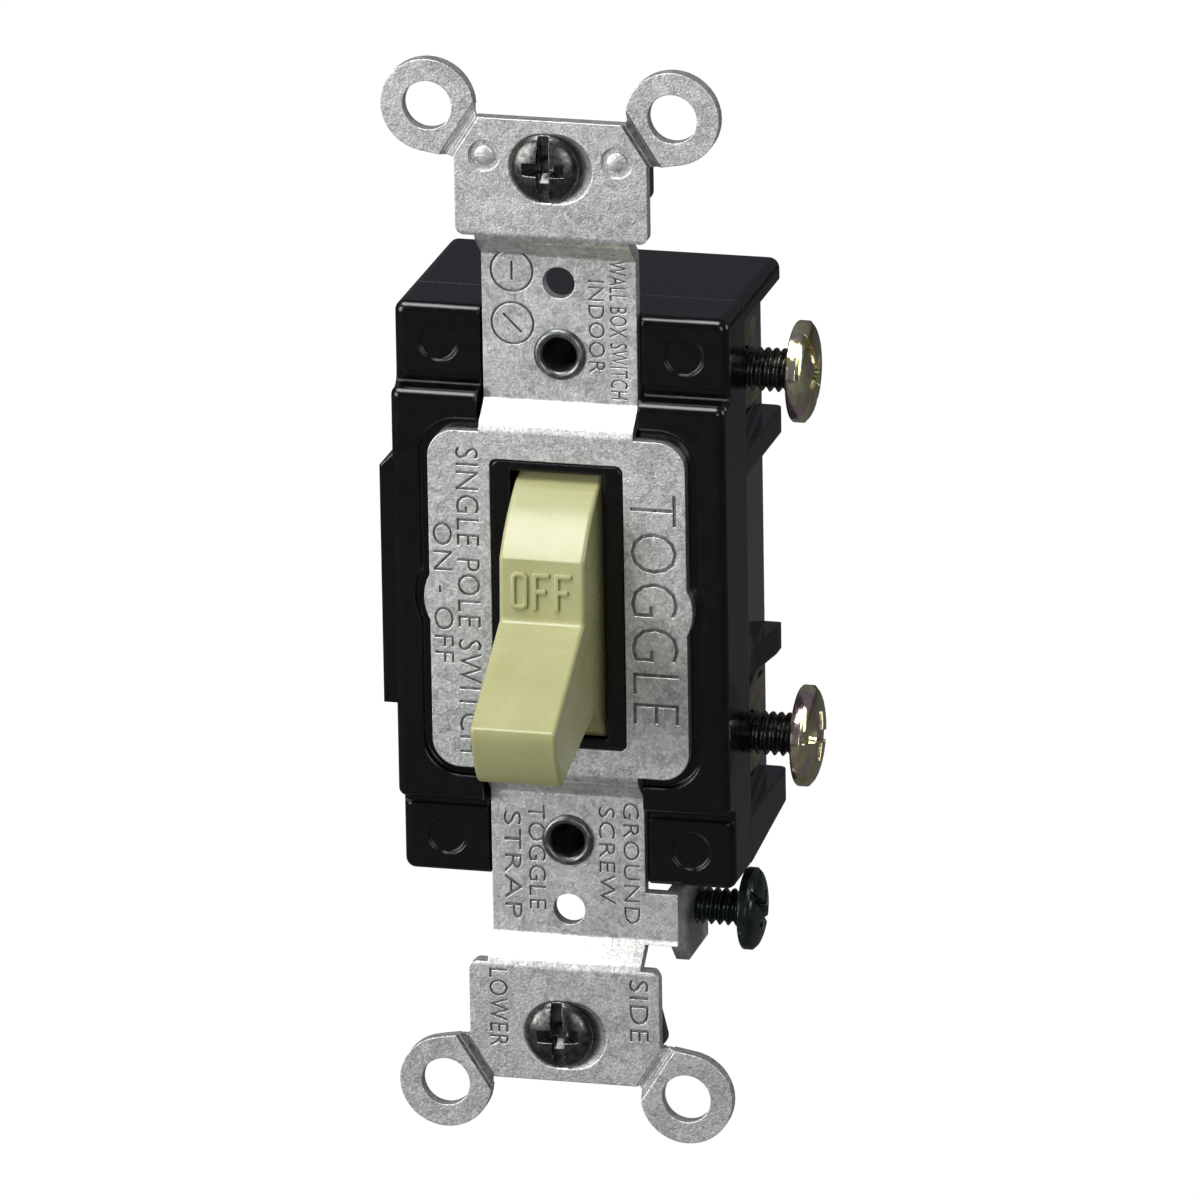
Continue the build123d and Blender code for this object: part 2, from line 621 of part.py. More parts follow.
# ---------------------------------------------------------------- mounting screws and washers
def dome_point(rim_a, dome_h, rim_r):
    """Point half way down a domed crown that ends at rim_a with radius rim_r."""
    return (rim_a - 0.74 * dome_h, 0.52 * rim_r)


for up, name in ((1, "upper_mounting_screw"), (-1, "lower_mounting_screw")):
    centre = (screw_x, 0, up * mount_spacing / 2)
    tip_y = end_y + screw_length
    neck_end = washer_t + 2 * run_gap
    with BuildPart() as screw:
        # half outline: Y along the screw, X out from its axis
        with BuildSketch(Plane(origin=centre, x_dir=(0, 1, 0), z_dir=(0, 0, -1))):
            with BuildLine():
                ThreePointArc((end_y - screw_dome, 0), dome_point(end_y, screw_dome, head_r), (end_y, head_r))
                Polyline((end_y, head_r), (end_y + sheet, screw_neck_r), (neck_end, screw_neck_r),
                         (neck_end, screw_r), (tip_y - tip_chamfer, screw_r),
                         (tip_y, screw_r - tip_chamfer), (tip_y, 0), (end_y - screw_dome, 0))
            make_face()
        revolve(axis=Axis(centre, (0, 1, 0)))
        with BuildSketch(front(end_y - screw_dome - 1)):
            with Locations((screw_x, up * mount_spacing / 2)):
                Rectangle(slot_w, 3 * head_r)
        extrude(amount=-1 - slot_depth, mode=Mode.SUBTRACT)
    save(screw.part, name)
    with BuildPart() as washer:
        with BuildSketch(front(0)):
            with Locations(Location((screw_x, up * mount_spacing / 2), washer_turn if up < 0 else 0)):
                with Locations(((washer_right - washer_left) / 2, 0)):
                    RectangleRounded(washer_left + washer_right, 2 * washer_half_z, 1.0)
                Circle(screw_r + 2 * run_gap, mode=Mode.SUBTRACT)
        extrude(amount=-washer_t)
    save(washer.part, name.replace("mounting_screw", "retaining_washer"))

# ---------------------------------------------------------------- side screws
terminal_sizes = (terminal_screw_r, terminal_head_r, terminal_head_x, terminal_head_h,
                  terminal_dome, terminal_tip_x)
ground_sizes = (ground_screw_r, ground_head_r, ground_head_x, ground_head_h,
                ground_dome, ground_tip_x)
for name, y, z, sizes in (("line_terminal_screw", terminal_y, line_z, terminal_sizes),
                          ("load_terminal_screw", terminal_y, load_z, terminal_sizes),
                          ("ground_screw", ground_y, ground_z, ground_sizes)):
    shank_r, rim_r, seat_x, rim_h, dome_h, tip_x = sizes
    rim_x = -seat_x - rim_h
    with BuildPart() as side_screw:
        # half outline: -X along the screw, Z out from its axis
        with BuildSketch(Plane(origin=(0, y, z), x_dir=(-1, 0, 0), z_dir=(0, 1, 0))):
            with BuildLine():
                ThreePointArc((rim_x - dome_h, 0), dome_point(rim_x, dome_h, rim_r), (rim_x, rim_r))
                Polyline((rim_x, rim_r), (-seat_x, rim_r), (-seat_x, shank_r),
                         (-tip_x - tip_chamfer, shank_r), (-tip_x, shank_r - tip_chamfer),
                         (-tip_x, 0), (rim_x - dome_h, 0))
            make_face()
        revolve(axis=Axis((0, y, z), (1, 0, 0)))
        with BuildSketch(side(seat_x + rim_h + dome_h + 1)):
            with Locations((y, z)):
                Rectangle(3 * rim_r, slot_w)
        extrude(amount=-1 - slot_depth, mode=Mode.SUBTRACT)
    save(side_screw.part, name)
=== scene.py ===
"""Toggle wall switch: the finished look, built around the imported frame.

Lengths in the classes below are in millimetres and are turned into metres when a piece is made.
+Z runs up along the strap, -Y comes out of the wall towards the hand, +X is to the right.
"""
import json
import logging
import math
from dataclasses import dataclass, field
from enum import Enum
from typing import Callable, Dict, Iterable, List, Optional, Sequence, Tuple

import bmesh
import bpy
from mathutils import Matrix, Vector


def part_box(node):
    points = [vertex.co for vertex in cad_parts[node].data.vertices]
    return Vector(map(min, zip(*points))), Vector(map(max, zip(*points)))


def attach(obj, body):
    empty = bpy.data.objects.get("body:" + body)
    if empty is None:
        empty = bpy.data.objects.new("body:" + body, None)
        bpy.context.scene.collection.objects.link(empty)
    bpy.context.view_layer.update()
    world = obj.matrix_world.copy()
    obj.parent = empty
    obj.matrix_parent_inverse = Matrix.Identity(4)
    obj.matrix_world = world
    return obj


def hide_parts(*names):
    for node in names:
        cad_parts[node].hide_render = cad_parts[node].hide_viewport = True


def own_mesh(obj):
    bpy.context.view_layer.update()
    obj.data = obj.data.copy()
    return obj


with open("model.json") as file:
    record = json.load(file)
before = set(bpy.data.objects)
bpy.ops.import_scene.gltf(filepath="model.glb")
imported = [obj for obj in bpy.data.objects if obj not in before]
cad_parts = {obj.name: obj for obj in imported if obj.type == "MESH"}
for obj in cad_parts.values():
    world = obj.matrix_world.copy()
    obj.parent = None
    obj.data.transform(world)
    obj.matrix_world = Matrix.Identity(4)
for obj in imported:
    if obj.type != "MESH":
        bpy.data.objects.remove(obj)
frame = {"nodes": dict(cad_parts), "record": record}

logging.basicConfig(level=logging.INFO, format="%(levelname)s %(message)s")
log = logging.getLogger("toggle_switch")

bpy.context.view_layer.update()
MM = 0.001
BLOTCH_SHARE = 0.35      # weight of the large blotches in the mottling
Point = Tuple[float, float, float]
Pair = Tuple[float, float]


class Body(Enum):
    """Moving bodies of the frame."""
    FRAME = "frame"
    HANDLE = "handle"
    PLUNGER = "plunger"
    ROCKER = "rocker"
    UPPER_MOUNTING = "upper_mounting_screw"
    LOWER_MOUNTING = "lower_mounting_screw"
    LINE_SCREW = "line_terminal_screw"
    LOAD_SCREW = "load_terminal_screw"
    GROUND_SCREW = "ground_screw"


class Slot(Enum):
    """Material slots of the record."""
    ZINC = "zinc_steel"
    PHENOLIC = "black_phenolic"
    IVORY = "ivory_plastic"
    SCREW = "screw_steel"
    RIVET = "rivet_steel"
    FIBRE = "washer_fibre"
    TERMINAL_SCREW = "terminal_screw_brass"
    GROUND = "ground_screw_green"
    BRASS = "terminal_brass"
    SILVER = "contact_silver"
    SPRING = "spring_steel"
    NYLON = "plunger_nylon"
    RUBBER = "bumper_rubber"


class Extra(Enum):
    """Second finishes that share a record slot."""
    # darker zinc painted as shade into the strap's letters, circles and two of the ear grooves
    PAINTED_SHADE_ZINC = "painted_shade_zinc"


# ----------------------------------------------------------------------------- node graphs
@dataclass
class Graph:
    """Adds nodes to one tree and wires them.

    Attributes:
        tree: the node tree.
        place: socket that carries the place in mm, for the noises.
    """
    tree: bpy.types.NodeTree
    place: Optional[bpy.types.NodeSocket] = None

    def add(self, kind: str, inputs: Optional[Dict[object, object]] = None,
            **settings: object) -> bpy.types.Node:
        """Adds one node.

        Args:
            kind: node type.
            inputs: sockets to link from, or values to set, by input name or number.
            settings: attributes of the node, set first.
        Returns:
            The node.
        """
        node = self.tree.nodes.new(kind)
        for name, value in settings.items():
            setattr(node, name, value)
        for name, value in (inputs or {}).items():
            if isinstance(value, bpy.types.NodeSocket):
                self.tree.links.new(value, node.inputs[name])
            else:
                node.inputs[name].default_value = value
        return node

    def noise(self, size_mm: float, detail: float, rough: float = 0.55) -> bpy.types.Node:
        """Adds a noise of a size in mm, detail and roughness."""
        return self.add("ShaderNodeTexNoise", {"Vector": self.place, "Scale": 1.0 / size_mm,
                                               "Detail": detail, "Roughness": rough})

    def spread(self, value: bpy.types.NodeSocket, start: Pair,
               end: Pair = (0.0, 1.0)) -> bpy.types.NodeSocket:
        """Maps a value from one range to another, clamped, and returns the result."""
        return self.add("ShaderNodeMapRange", {
            "Value": value, "From Min": start[0], "From Max": start[1],
            "To Min": end[0], "To Max": end[1]}).outputs["Result"]

    def mix(self, kind: str, factor: object, first: object, second: object) -> bpy.types.NodeSocket:
        """Mixes two values or colours (kind FLOAT or RGBA) and returns the result."""
        return self.add("ShaderNodeMix", {"Factor": factor, "A": first, "B": second},
                        data_type=kind).outputs["Result"]

    def to_camera(self, output: str, seen: bpy.types.Node, felt: bpy.types.Node) -> None:
        """Shows one shader to the camera and another to every other ray.

        Args:
            output: type of the output node.
            seen: shader that the camera sees.
            felt: shader that lights the object.
        """
        path = self.add("ShaderNodeLightPath")
        shader = self.add("ShaderNodeMixShader", {0: path.outputs["Is Camera Ray"],
                                                  1: felt.outputs[0], 2: seen.outputs[0]})
        self.add(output, {"Surface": shader.outputs[0]})


# ----------------------------------------------------------------------------- finishes
@dataclass(frozen=True)
class Finish:
    """One procedural surface.

    Attributes:
        slot: record slot that the finish belongs to.
        dark, light: the two colours that the mottling runs between (linear RGB).
        metallic: metallic share.
        rough: lowest and highest roughness.
        grain_mm: size of the mottling.
        bump_mm: height of the fine surface relief.
        bump_grain_mm: size of the relief.
        edge_mm: radius over which sharp edges are softened by shading, 0 for none.
        edge_wear_and_highlight: how strongly edges are lightened, part wear and part painted highlight.
        edge_wear_and_highlight_colour: colour of a lightened edge (linear RGB).
        spangle: weight of the crystalline mottling.
        coat: clear coat weight.
        subsurface: subsurface weight.
        specular: specular level.
        crystal_mm: size of the crystals of the spangle.
        blotch_mm: size of the faint large blotches, 0 for none.
        tint: colour of the stained patches (linear RGB).
        tint_mix: strength of the stained patches.
    """
    slot: Slot
    dark: Point
    light: Point
    metallic: float = 0.0
    rough: Pair = (0.3, 0.4)
    grain_mm: float = 2.0
    bump_mm: float = 0.004
    bump_grain_mm: float = 0.25
    edge_mm: float = 0.12
    edge_wear_and_highlight: float = 0.0
    edge_wear_and_highlight_colour: Point = (0.6, 0.6, 0.6)
    spangle: float = 0.0
    coat: float = 0.0
    subsurface: float = 0.0
    specular: float = 0.5
    crystal_mm: float = 1.1
    blotch_mm: float = 0.0
    tint: Point = (0.5, 0.5, 0.5)
    tint_mix: float = 0.0

    def tone(self, graph: Graph) -> bpy.types.NodeSocket:
        """Mottling from 0 to 1.

        Args:
            graph: the material's graph.
        Returns:
            The socket that carries it.
        """
        mottle = graph.noise(self.grain_mm, 6.0, 0.62)
        tone = graph.spread(mottle.outputs["Fac"], (0.33, 0.67))
        if self.spangle > 0.0:
            warp = graph.add("ShaderNodeVectorMath", {0: graph.place,
                                                      1: graph.noise(1.4, 3.0).outputs["Color"]},
                             operation="ADD")
            crystals = graph.add("ShaderNodeTexVoronoi", {"Vector": warp.outputs[0], "Randomness": 1.0,
                                                          "Scale": 1.0 / self.crystal_mm})
            grey = graph.add("ShaderNodeSeparateColor", {"Color": crystals.outputs["Color"]})
            tone = graph.mix("FLOAT", self.spangle, tone, grey.outputs["Red"])
        if self.blotch_mm > 0.0:
            tone = graph.mix("FLOAT", BLOTCH_SHARE, tone, graph.noise(self.blotch_mm, 5.0).outputs["Fac"])
        return tone

    def colour(self, graph: Graph, bevel: Optional[bpy.types.Node]) -> bpy.types.NodeSocket:
        """Base colour: mottling, stained patches, then lighter edges, part wear and part painted highlight.

        Args:
            graph: the material's graph.
            bevel: node that rounds the edges' shading, if there is one.
        Returns:
            The socket that carries it.
        """
        colour = graph.mix("RGBA", self.tone(graph), (*self.dark, 1.0), (*self.light, 1.0))
        if self.tint_mix > 0.0:
            patches = graph.spread(graph.noise(2.6, 2.0).outputs["Fac"], (0.50, 0.60),
                                   (0.0, self.tint_mix))
            colour = graph.mix("RGBA", patches, colour, (*self.tint, 1.0))
        # edges lightened towards the edge colour: part wear, part painted highlight along the rounded edges
        if self.edge_wear_and_highlight > 0.0 and bevel is not None:
            geometry = graph.add("ShaderNodeNewGeometry")
            facing = graph.add("ShaderNodeVectorMath", {0: bevel.outputs["Normal"],
                                                        1: geometry.outputs["Normal"]},
                               operation="DOT_PRODUCT")
            edge = graph.spread(facing.outputs["Value"], (0.995, 0.80), (0.0, self.edge_wear_and_highlight))
            wear_and_highlight_mask = graph.add("ShaderNodeMath", {0: edge, 1: graph.noise(0.8, 4.0).outputs["Fac"]},
                               operation="MULTIPLY")
            colour = graph.mix("RGBA", wear_and_highlight_mask.outputs[0], colour, (*self.edge_wear_and_highlight_colour, 1.0))
        return colour

    def build(self) -> bpy.types.Material:
        """Makes the node material.

        Returns:
            The finished material.
        """
        material = bpy.data.materials.new(f"finish_{self.slot.value}")
        material.use_nodes = True
        material.node_tree.nodes.clear()
        graph = Graph(material.node_tree)
        coords = graph.add("ShaderNodeTexCoord")
        graph.place = graph.add("ShaderNodeVectorMath", {0: coords.outputs["Object"], "Scale": 1.0 / MM},
                                operation="SCALE").outputs[0]
        bevel = None
        relief = {"Strength": 1.0, "Distance": self.bump_mm * MM,
                  "Height": graph.noise(self.bump_grain_mm, 4.0).outputs["Fac"]}
        if self.edge_mm > 0.0:
            bevel = graph.add("ShaderNodeBevel", {"Radius": self.edge_mm * MM}, samples=6)
            relief["Normal"] = bevel.outputs["Normal"]
        bump = graph.add("ShaderNodeBump", relief)
        rough = graph.spread(graph.noise(self.grain_mm * 0.45, 5.0).outputs["Fac"], (0.3, 0.7), self.rough)
        shader = graph.add("ShaderNodeBsdfPrincipled", {
            "Base Color": self.colour(graph, bevel), "Roughness": rough, "Normal": bump.outputs["Normal"],
            "Metallic": self.metallic, "Specular IOR Level": self.specular,
            "Coat Weight": self.coat, "Coat Roughness": 0.08,
            "Subsurface Weight": self.subsurface, "Subsurface Radius": (1.0, 0.8, 0.4),
            "Subsurface Scale": 1.2 * MM})
        graph.add("ShaderNodeOutputMaterial", {"Surface": shader.outputs["BSDF"]})
        return material


FINISHES: Tuple[Finish, ...] = (
    Finish(Slot.ZINC, (0.19, 0.21, 0.195), (1.0, 1.0, 0.98), metallic=0.80, rough=(0.28, 0.50),
           grain_mm=0.32, bump_mm=0.030, bump_grain_mm=0.22, edge_mm=0.14, edge_wear_and_highlight=0.5,
           edge_wear_and_highlight_colour=(0.95, 0.95, 0.93), spangle=0.38, crystal_mm=0.75, blotch_mm=5.0),
    # black plastic: the lighter edges are painted highlight along its rounded edges
    Finish(Slot.PHENOLIC, (0.0010, 0.0009, 0.0011), (0.0034, 0.0030, 0.0036), rough=(0.07, 0.15),
           grain_mm=1.2, bump_mm=0.008, bump_grain_mm=0.8, edge_mm=0.40, edge_wear_and_highlight=0.20,
           edge_wear_and_highlight_colour=(0.03, 0.028, 0.034), specular=0.50),
    Finish(Slot.IVORY, (0.320, 0.320, 0.148), (0.365, 0.366, 0.182), rough=(0.20, 0.30),
           grain_mm=6.0, bump_mm=0.006, bump_grain_mm=1.2, edge_mm=0.20, subsurface=0.10,
           edge_wear_and_highlight=0.15, edge_wear_and_highlight_colour=(0.45, 0.45, 0.26)),
    Finish(Slot.SCREW, (0.030, 0.032, 0.030), (0.15, 0.155, 0.145), metallic=0.95,
           rough=(0.20, 0.36), grain_mm=0.8, bump_mm=0.010, bump_grain_mm=0.3, edge_mm=0.08,
           edge_wear_and_highlight=0.9, edge_wear_and_highlight_colour=(0.7, 0.7, 0.66)),
    Finish(Slot.RIVET, (0.07, 0.075, 0.075), (0.22, 0.23, 0.22), metallic=0.95, rough=(0.28, 0.45),
           grain_mm=0.9, bump_mm=0.010, bump_grain_mm=0.3, edge_mm=0.08, edge_wear_and_highlight=0.5,
           edge_wear_and_highlight_colour=(0.6, 0.6, 0.6)),
    Finish(Slot.FIBRE, (0.012, 0.012, 0.012), (0.035, 0.034, 0.032), rough=(0.75, 0.9),
           grain_mm=0.6, bump_mm=0.03, bump_grain_mm=0.2, edge_mm=0.1, edge_wear_and_highlight=0.3,
           edge_wear_and_highlight_colour=(0.1, 0.1, 0.09)),
    Finish(Slot.TERMINAL_SCREW, (0.62, 0.58, 0.26), (1.0, 0.98, 0.66), metallic=0.95,
           rough=(0.08, 0.22), grain_mm=1.8, bump_mm=0.012, bump_grain_mm=0.5, edge_mm=0.10,
           edge_wear_and_highlight=0.6, edge_wear_and_highlight_colour=(0.9, 0.88, 0.7), tint=(0.62, 0.36, 0.60), tint_mix=0.55),
    Finish(Slot.GROUND, (0.010, 0.018, 0.015), (0.035, 0.050, 0.045), metallic=0.6,
           rough=(0.10, 0.22), grain_mm=1.0, bump_mm=0.010, bump_grain_mm=0.4, edge_mm=0.10,
           edge_wear_and_highlight=0.8, edge_wear_and_highlight_colour=(0.35, 0.38, 0.36)),
    Finish(Slot.BRASS, (0.30, 0.26, 0.16), (0.60, 0.54, 0.38), metallic=1.0, rough=(0.22, 0.4),
           grain_mm=2.0, bump_mm=0.008, bump_grain_mm=0.4, edge_mm=0.08, edge_wear_and_highlight=0.4,
           edge_wear_and_highlight_colour=(0.85, 0.7, 0.42)),
    Finish(Slot.SILVER, (0.58, 0.57, 0.54), (0.82, 0.82, 0.79), metallic=1.0, rough=(0.18, 0.32),
           grain_mm=0.6, bump_mm=0.006, bump_grain_mm=0.2, edge_mm=0.06, edge_wear_and_highlight=0.3,
           edge_wear_and_highlight_colour=(0.9, 0.9, 0.88)),
    Finish(Slot.SPRING, (0.22, 0.22, 0.23), (0.46, 0.46, 0.47), metallic=1.0, rough=(0.2, 0.35),
           grain_mm=0.5, bump_mm=0.003, bump_grain_mm=0.1, edge_mm=0.0),
    Finish(Slot.NYLON, (0.66, 0.66, 0.60), (0.78, 0.78, 0.72), rough=(0.4, 0.52), grain_mm=1.5,
           bump_mm=0.005, bump_grain_mm=0.3, edge_mm=0.06, edge_wear_and_highlight=0.2, edge_wear_and_highlight_colour=(0.9, 0.9, 0.86)),
    Finish(Slot.RUBBER, (0.010, 0.010, 0.010), (0.024, 0.024, 0.024), rough=(0.6, 0.8),
           grain_mm=0.8, bump_mm=0.02, bump_grain_mm=0.2, edge_mm=0.08, edge_wear_and_highlight=0.2,
           edge_wear_and_highlight_colour=(0.05, 0.05, 0.05)),
)


# painted shade: a darker zinc for the recesses of the strap's letters and circles and for two of its ear
# grooves
PAINTED_SHADE_ZINC = Finish(Slot.ZINC, (0.10, 0.11, 0.10), (0.30, 0.31, 0.30), metallic=0.8,
                 rough=(0.40, 0.55), grain_mm=0.5, bump_mm=0.010, bump_grain_mm=0.3, edge_mm=0.0)


# ----------------------------------------------------------------------------- workshop
@dataclass
class Workshop:
    """Makes finished objects out of bmeshes and hands them to the frame."""
    finishes: Dict[Enum, bpy.types.Material] = field(default_factory=dict)

    def material(self, slot: Slot) -> bpy.types.Material:
        """Returns the material of a slot, making it the first time.

        Args:
            slot: the record slot.
        Returns:
            The material.
        """
        if slot not in self.finishes:
            finish = next(f for f in FINISHES if f.slot is slot)
            self.finishes[slot] = finish.build()
        return self.finishes[slot]

    def painted_shade(self) -> bpy.types.Material:
        """Returns the darker zinc that paints shade into the strap's cut letters, circles and two ear
        grooves.
        """
        if Extra.PAINTED_SHADE_ZINC not in self.finishes:
            self.finishes[Extra.PAINTED_SHADE_ZINC] = PAINTED_SHADE_ZINC.build()
        return self.finishes[Extra.PAINTED_SHADE_ZINC]

    def place(self, name: str, bm: bmesh.types.BMesh, scale: float = MM) -> bpy.types.Object:
        """Turns a bmesh into an object at the origin.

        Args:
            name: object name.
            bm: the mesh; it is freed.
            scale: factor from the bmesh's unit to metres.
        Returns:
            The new object.
        """
        bmesh.ops.recalc_face_normals(bm, faces=bm.faces)
        if scale != 1.0:
            bmesh.ops.scale(bm, vec=Vector((scale,) * 3), verts=bm.verts)
        mesh = bpy.data.meshes.new(name)
        bm.to_mesh(mesh)
        bm.free()
        obj = bpy.data.objects.new(name, mesh)
        bpy.context.scene.collection.objects.link(obj)
        return obj

    def bake(self, obj: bpy.types.Object) -> bpy.types.Object:
        """Applies an object's modifiers to its mesh.

        Args:
            obj: the object.
        Returns:
            The same object, with no modifiers.
        """
        graph = bpy.context.evaluated_depsgraph_get()
        mesh = bpy.data.meshes.new_from_object(obj.evaluated_get(graph), depsgraph=graph)
        mesh.name = obj.name
        obj.modifiers.clear()
        obj.data = mesh
        return obj

    def carve(self, obj: bpy.types.Object, cutters: Sequence[bpy.types.Object]) -> bpy.types.Object:
        """Cuts other objects out of one and removes them.

        Args:
            obj: the object to cut.
            cutters: closed objects to take away.
        Returns:
            The cut object.
        """
        for cutter in cutters:
            modifier = obj.modifiers.new("cut", "BOOLEAN")
            modifier.operation = "DIFFERENCE"
            modifier.solver = "EXACT"
            modifier.object = cutter
        self.bake(obj)
        for cutter in cutters:
            bpy.data.objects.remove(cutter)
        return obj

    def soften(self, obj: bpy.types.Object, width_mm: float, segments: int = 2,
               angle: float = 35.0) -> bpy.types.Object:
        """Rounds the sharp edges of an object for good.

        Args:
            obj: the object.
            width_mm: bevel width.
            segments: bevel segments.
            angle: edges sharper than this many degrees are rounded.
        Returns:
            The same object.
        """
        modifier = obj.modifiers.new("edges", "BEVEL")
        modifier.width = width_mm * MM
        modifier.segments = segments
        modifier.limit_method = "ANGLE"
        modifier.angle_limit = math.radians(angle)
        modifier.use_clamp_overlap = True
        return self.bake(obj)

    def deliver(self, obj: bpy.types.Object, body: Body, slot: Slot, replaces: Iterable[str] = (),
                smooth: float = 32.0, painted_shade: bool = False) -> bpy.types.Object:
        """Gives an object its finish and its place on a body.

        Args:
            obj: the object.
            body: body it rides on.
            slot: record slot of its finish.
            replaces: CAD nodes it stands for.
            smooth: edges flatter than this many degrees are shaded smooth.
            painted_shade: the object already carries its finish and the darker zinc that paints shade into
                its grooves.
        Returns:
            The same object.
        """
        mesh = obj.data
        if "custom_normal" in mesh.attributes:
            mesh.attributes.remove(mesh.attributes["custom_normal"])
        if not painted_shade:
            mesh.materials.clear()
            mesh.materials.append(self.material(slot))
        for polygon in mesh.polygons:
            if not painted_shade:
                polygon.material_index = 0
            polygon.use_smooth = True
        mesh.set_sharp_from_angle(angle=math.radians(smooth))
        weighted = obj.modifiers.new("shade", "WEIGHTED_NORMAL")
        weighted.keep_sharp = True
        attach(obj, body.value)
        for node in replaces:
            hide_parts(node)
        log.info("%s: %d faces on %s", obj.name, len(mesh.polygons), body.value)
        return obj

    def node_copy(self, node: str, name: str) -> bpy.types.Object:
        """Copies a CAD node, welded and with its flat faces rejoined.

        Args:
            node: CAD node name.
            name: name of the copy.
        Returns:
            The copy; the node itself is left alone.
        """
        bm = bmesh.new()
        source = frame["nodes"][node].data.copy()
        if "custom_normal" in source.attributes:
            source.attributes.remove(source.attributes["custom_normal"])
        bm.from_mesh(source)
        bpy.data.meshes.remove(source)
        bmesh.ops.remove_doubles(bm, verts=bm.verts, dist=2e-6)
        bmesh.ops.dissolve_limit(bm, angle_limit=math.radians(0.6), verts=bm.verts, edges=bm.edges)
        return self.place(name, bm, scale=1.0)

    def lettering(self, name: str, words: str, size: float, height: float, offset: float,
                  place: Matrix, spacing: float = 1.0, span: Optional[float] = None) -> bpy.types.Object:
        """Makes a closed mesh of words.

        Args:
            name: object name.
            words: the words.
            size: capital height in mm.
            height: thickness of the letters in mm, split about their plane.
            offset: thickening of the strokes, negative for thin letters.
            place: matrix from the letters' plane, in mm, to the row frame, in mm.
            spacing: letter spacing factor.
            span: length to fit the words to, in mm.
        Returns:
            The letters as one mesh object in metres.
        """
        curve = bpy.data.curves.new(name, "FONT")
        curve.body = words
        curve.align_x = "CENTER"
        curve.align_y = "CENTER"
        curve.size = size / 0.70
        curve.extrude = height / 2
        curve.offset = offset
        curve.resolution_u = 3
        curve.space_character = spacing
        text = bpy.data.objects.new(name, curve)
        bpy.context.scene.collection.objects.link(text)
        bpy.context.view_layer.update()
        graph = bpy.context.evaluated_depsgraph_get()
        mesh = bpy.data.meshes.new_from_object(text.evaluated_get(graph), depsgraph=graph)
        bpy.data.objects.remove(text)
        bpy.data.curves.remove(curve)
        bm = bmesh.new()
        bm.from_mesh(mesh)
        bpy.data.meshes.remove(mesh)
        bmesh.ops.remove_doubles(bm, verts=bm.verts, dist=1e-4)
        xs = [v.co.x for v in bm.verts]
        ys = [v.co.y for v in bm.verts]
        centre = Vector(((min(xs) + max(xs)) / 2, (min(ys) + max(ys)) / 2, 0))
        bmesh.ops.translate(bm, vec=-centre, verts=bm.verts)
        bmesh.ops.scale(bm, vec=Vector(((span / (max(xs) - min(xs))) if span else 1.0,
                                        size / (max(ys) - min(ys)), 1.0)), verts=bm.verts)
        bmesh.ops.transform(bm, matrix=place, verts=bm.verts)
        return self.place(name, bm)


def corners(node: str) -> Tuple[Vector, Vector, Vector]:
    """Box of a CAD node at rest.

    Args:
        node: CAD node name.
    Returns:
        Its lowest corner, middle and highest corner, in mm.
    """
    low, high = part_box(node)
    return low / MM, (low + high) / (2 * MM), high / MM


def lathe(profile: Sequence[Pair], axis: Vector, centre: Vector, steps: int = 64) -> bmesh.types.BMesh:
    """Turns a profile about an axis.

    Args:
        profile: (distance along the axis, radius) pairs.
        axis: unit axis.
        centre: point on the axis where the distance is 0.
        steps: divisions round the axis.
    Returns:
        The turned shape, in mm.
    """
    side = Vector((0, 0, 1)) if abs(axis.z) < 0.9 else Vector((1, 0, 0))
    bm = bmesh.new()
    verts = [bm.verts.new(centre + axis * along + side * radius) for along, radius in profile]
    edges = [bm.edges.new(pair) for pair in zip(verts, verts[1:])]
    bmesh.ops.spin(bm, geom=verts + edges, cent=centre, axis=axis, dvec=Vector(), angle=math.tau,
                   steps=steps, use_merge=True)
    bmesh.ops.remove_doubles(bm, verts=bm.verts, dist=1e-4)
    return bm


def join(bm: bmesh.types.BMesh, other: bmesh.types.BMesh) -> None:
    """Adds a copy of one bmesh to another and frees the first.

    Args:
        bm: mesh to add to.
        other: mesh that is added and freed.
    """
    mesh = bpy.data.meshes.new("joined")
    other.to_mesh(mesh)
    other.free()
    bm.from_mesh(mesh)
    bpy.data.meshes.remove(mesh)


def block(bm: bmesh.types.BMesh, low: Point, high: Point,
          turn: Optional[Matrix] = None) -> List[bmesh.types.BMVert]:
    """Adds a box between two corners.

    Args:
        bm: mesh to add to.
        low, high: corners in mm.
        turn: matrix applied to the box afterwards.
    Returns:
        The new vertices.
    """
    size = Vector(high) - Vector(low)
    middle = (Vector(high) + Vector(low)) / 2
    matrix = Matrix.Translation(middle) @ Matrix.Diagonal((*size, 1.0))
    if turn is not None:
        matrix = turn @ matrix
    return bmesh.ops.create_cube(bm, size=1.0, matrix=matrix)["verts"]


def arc(centre: Pair, radius: float, start: float, end: float, count: int) -> List[Pair]:
    """Points of an arc, ends included.

    Args:
        centre: centre of the arc.
        radius: its radius.
        start, end: angles in degrees.
        count: number of points.
    Returns:
        The points.
    """
    steps = [math.radians(start + (end - start) * i / (count - 1)) for i in range(count)]
    return [(centre[0] + radius * math.cos(a), centre[1] + radius * math.sin(a)) for a in steps]


def prism(outline: Sequence[Pair], to_point: Callable[[float, float, float], Vector],
          low: float, high: float) -> bmesh.types.BMesh:
    """Extrudes a closed outline.

    Args:
        outline: outline points.
        to_point: turns (first, second, depth) into a point in mm.
        low, high: depths of the two ends.
    Returns:
        The solid.
    """
    bm = bmesh.new()
    face = bm.faces.new([bm.verts.new(to_point(a, b, low)) for a, b in outline])
    moved = bmesh.ops.extrude_face_region(bm, geom=[face])["geom"]
    shift = to_point(0, 0, high) - to_point(0, 0, low)
    bmesh.ops.translate(bm, vec=shift, verts=[g for g in moved if isinstance(g, bmesh.types.BMVert)])
    return bm


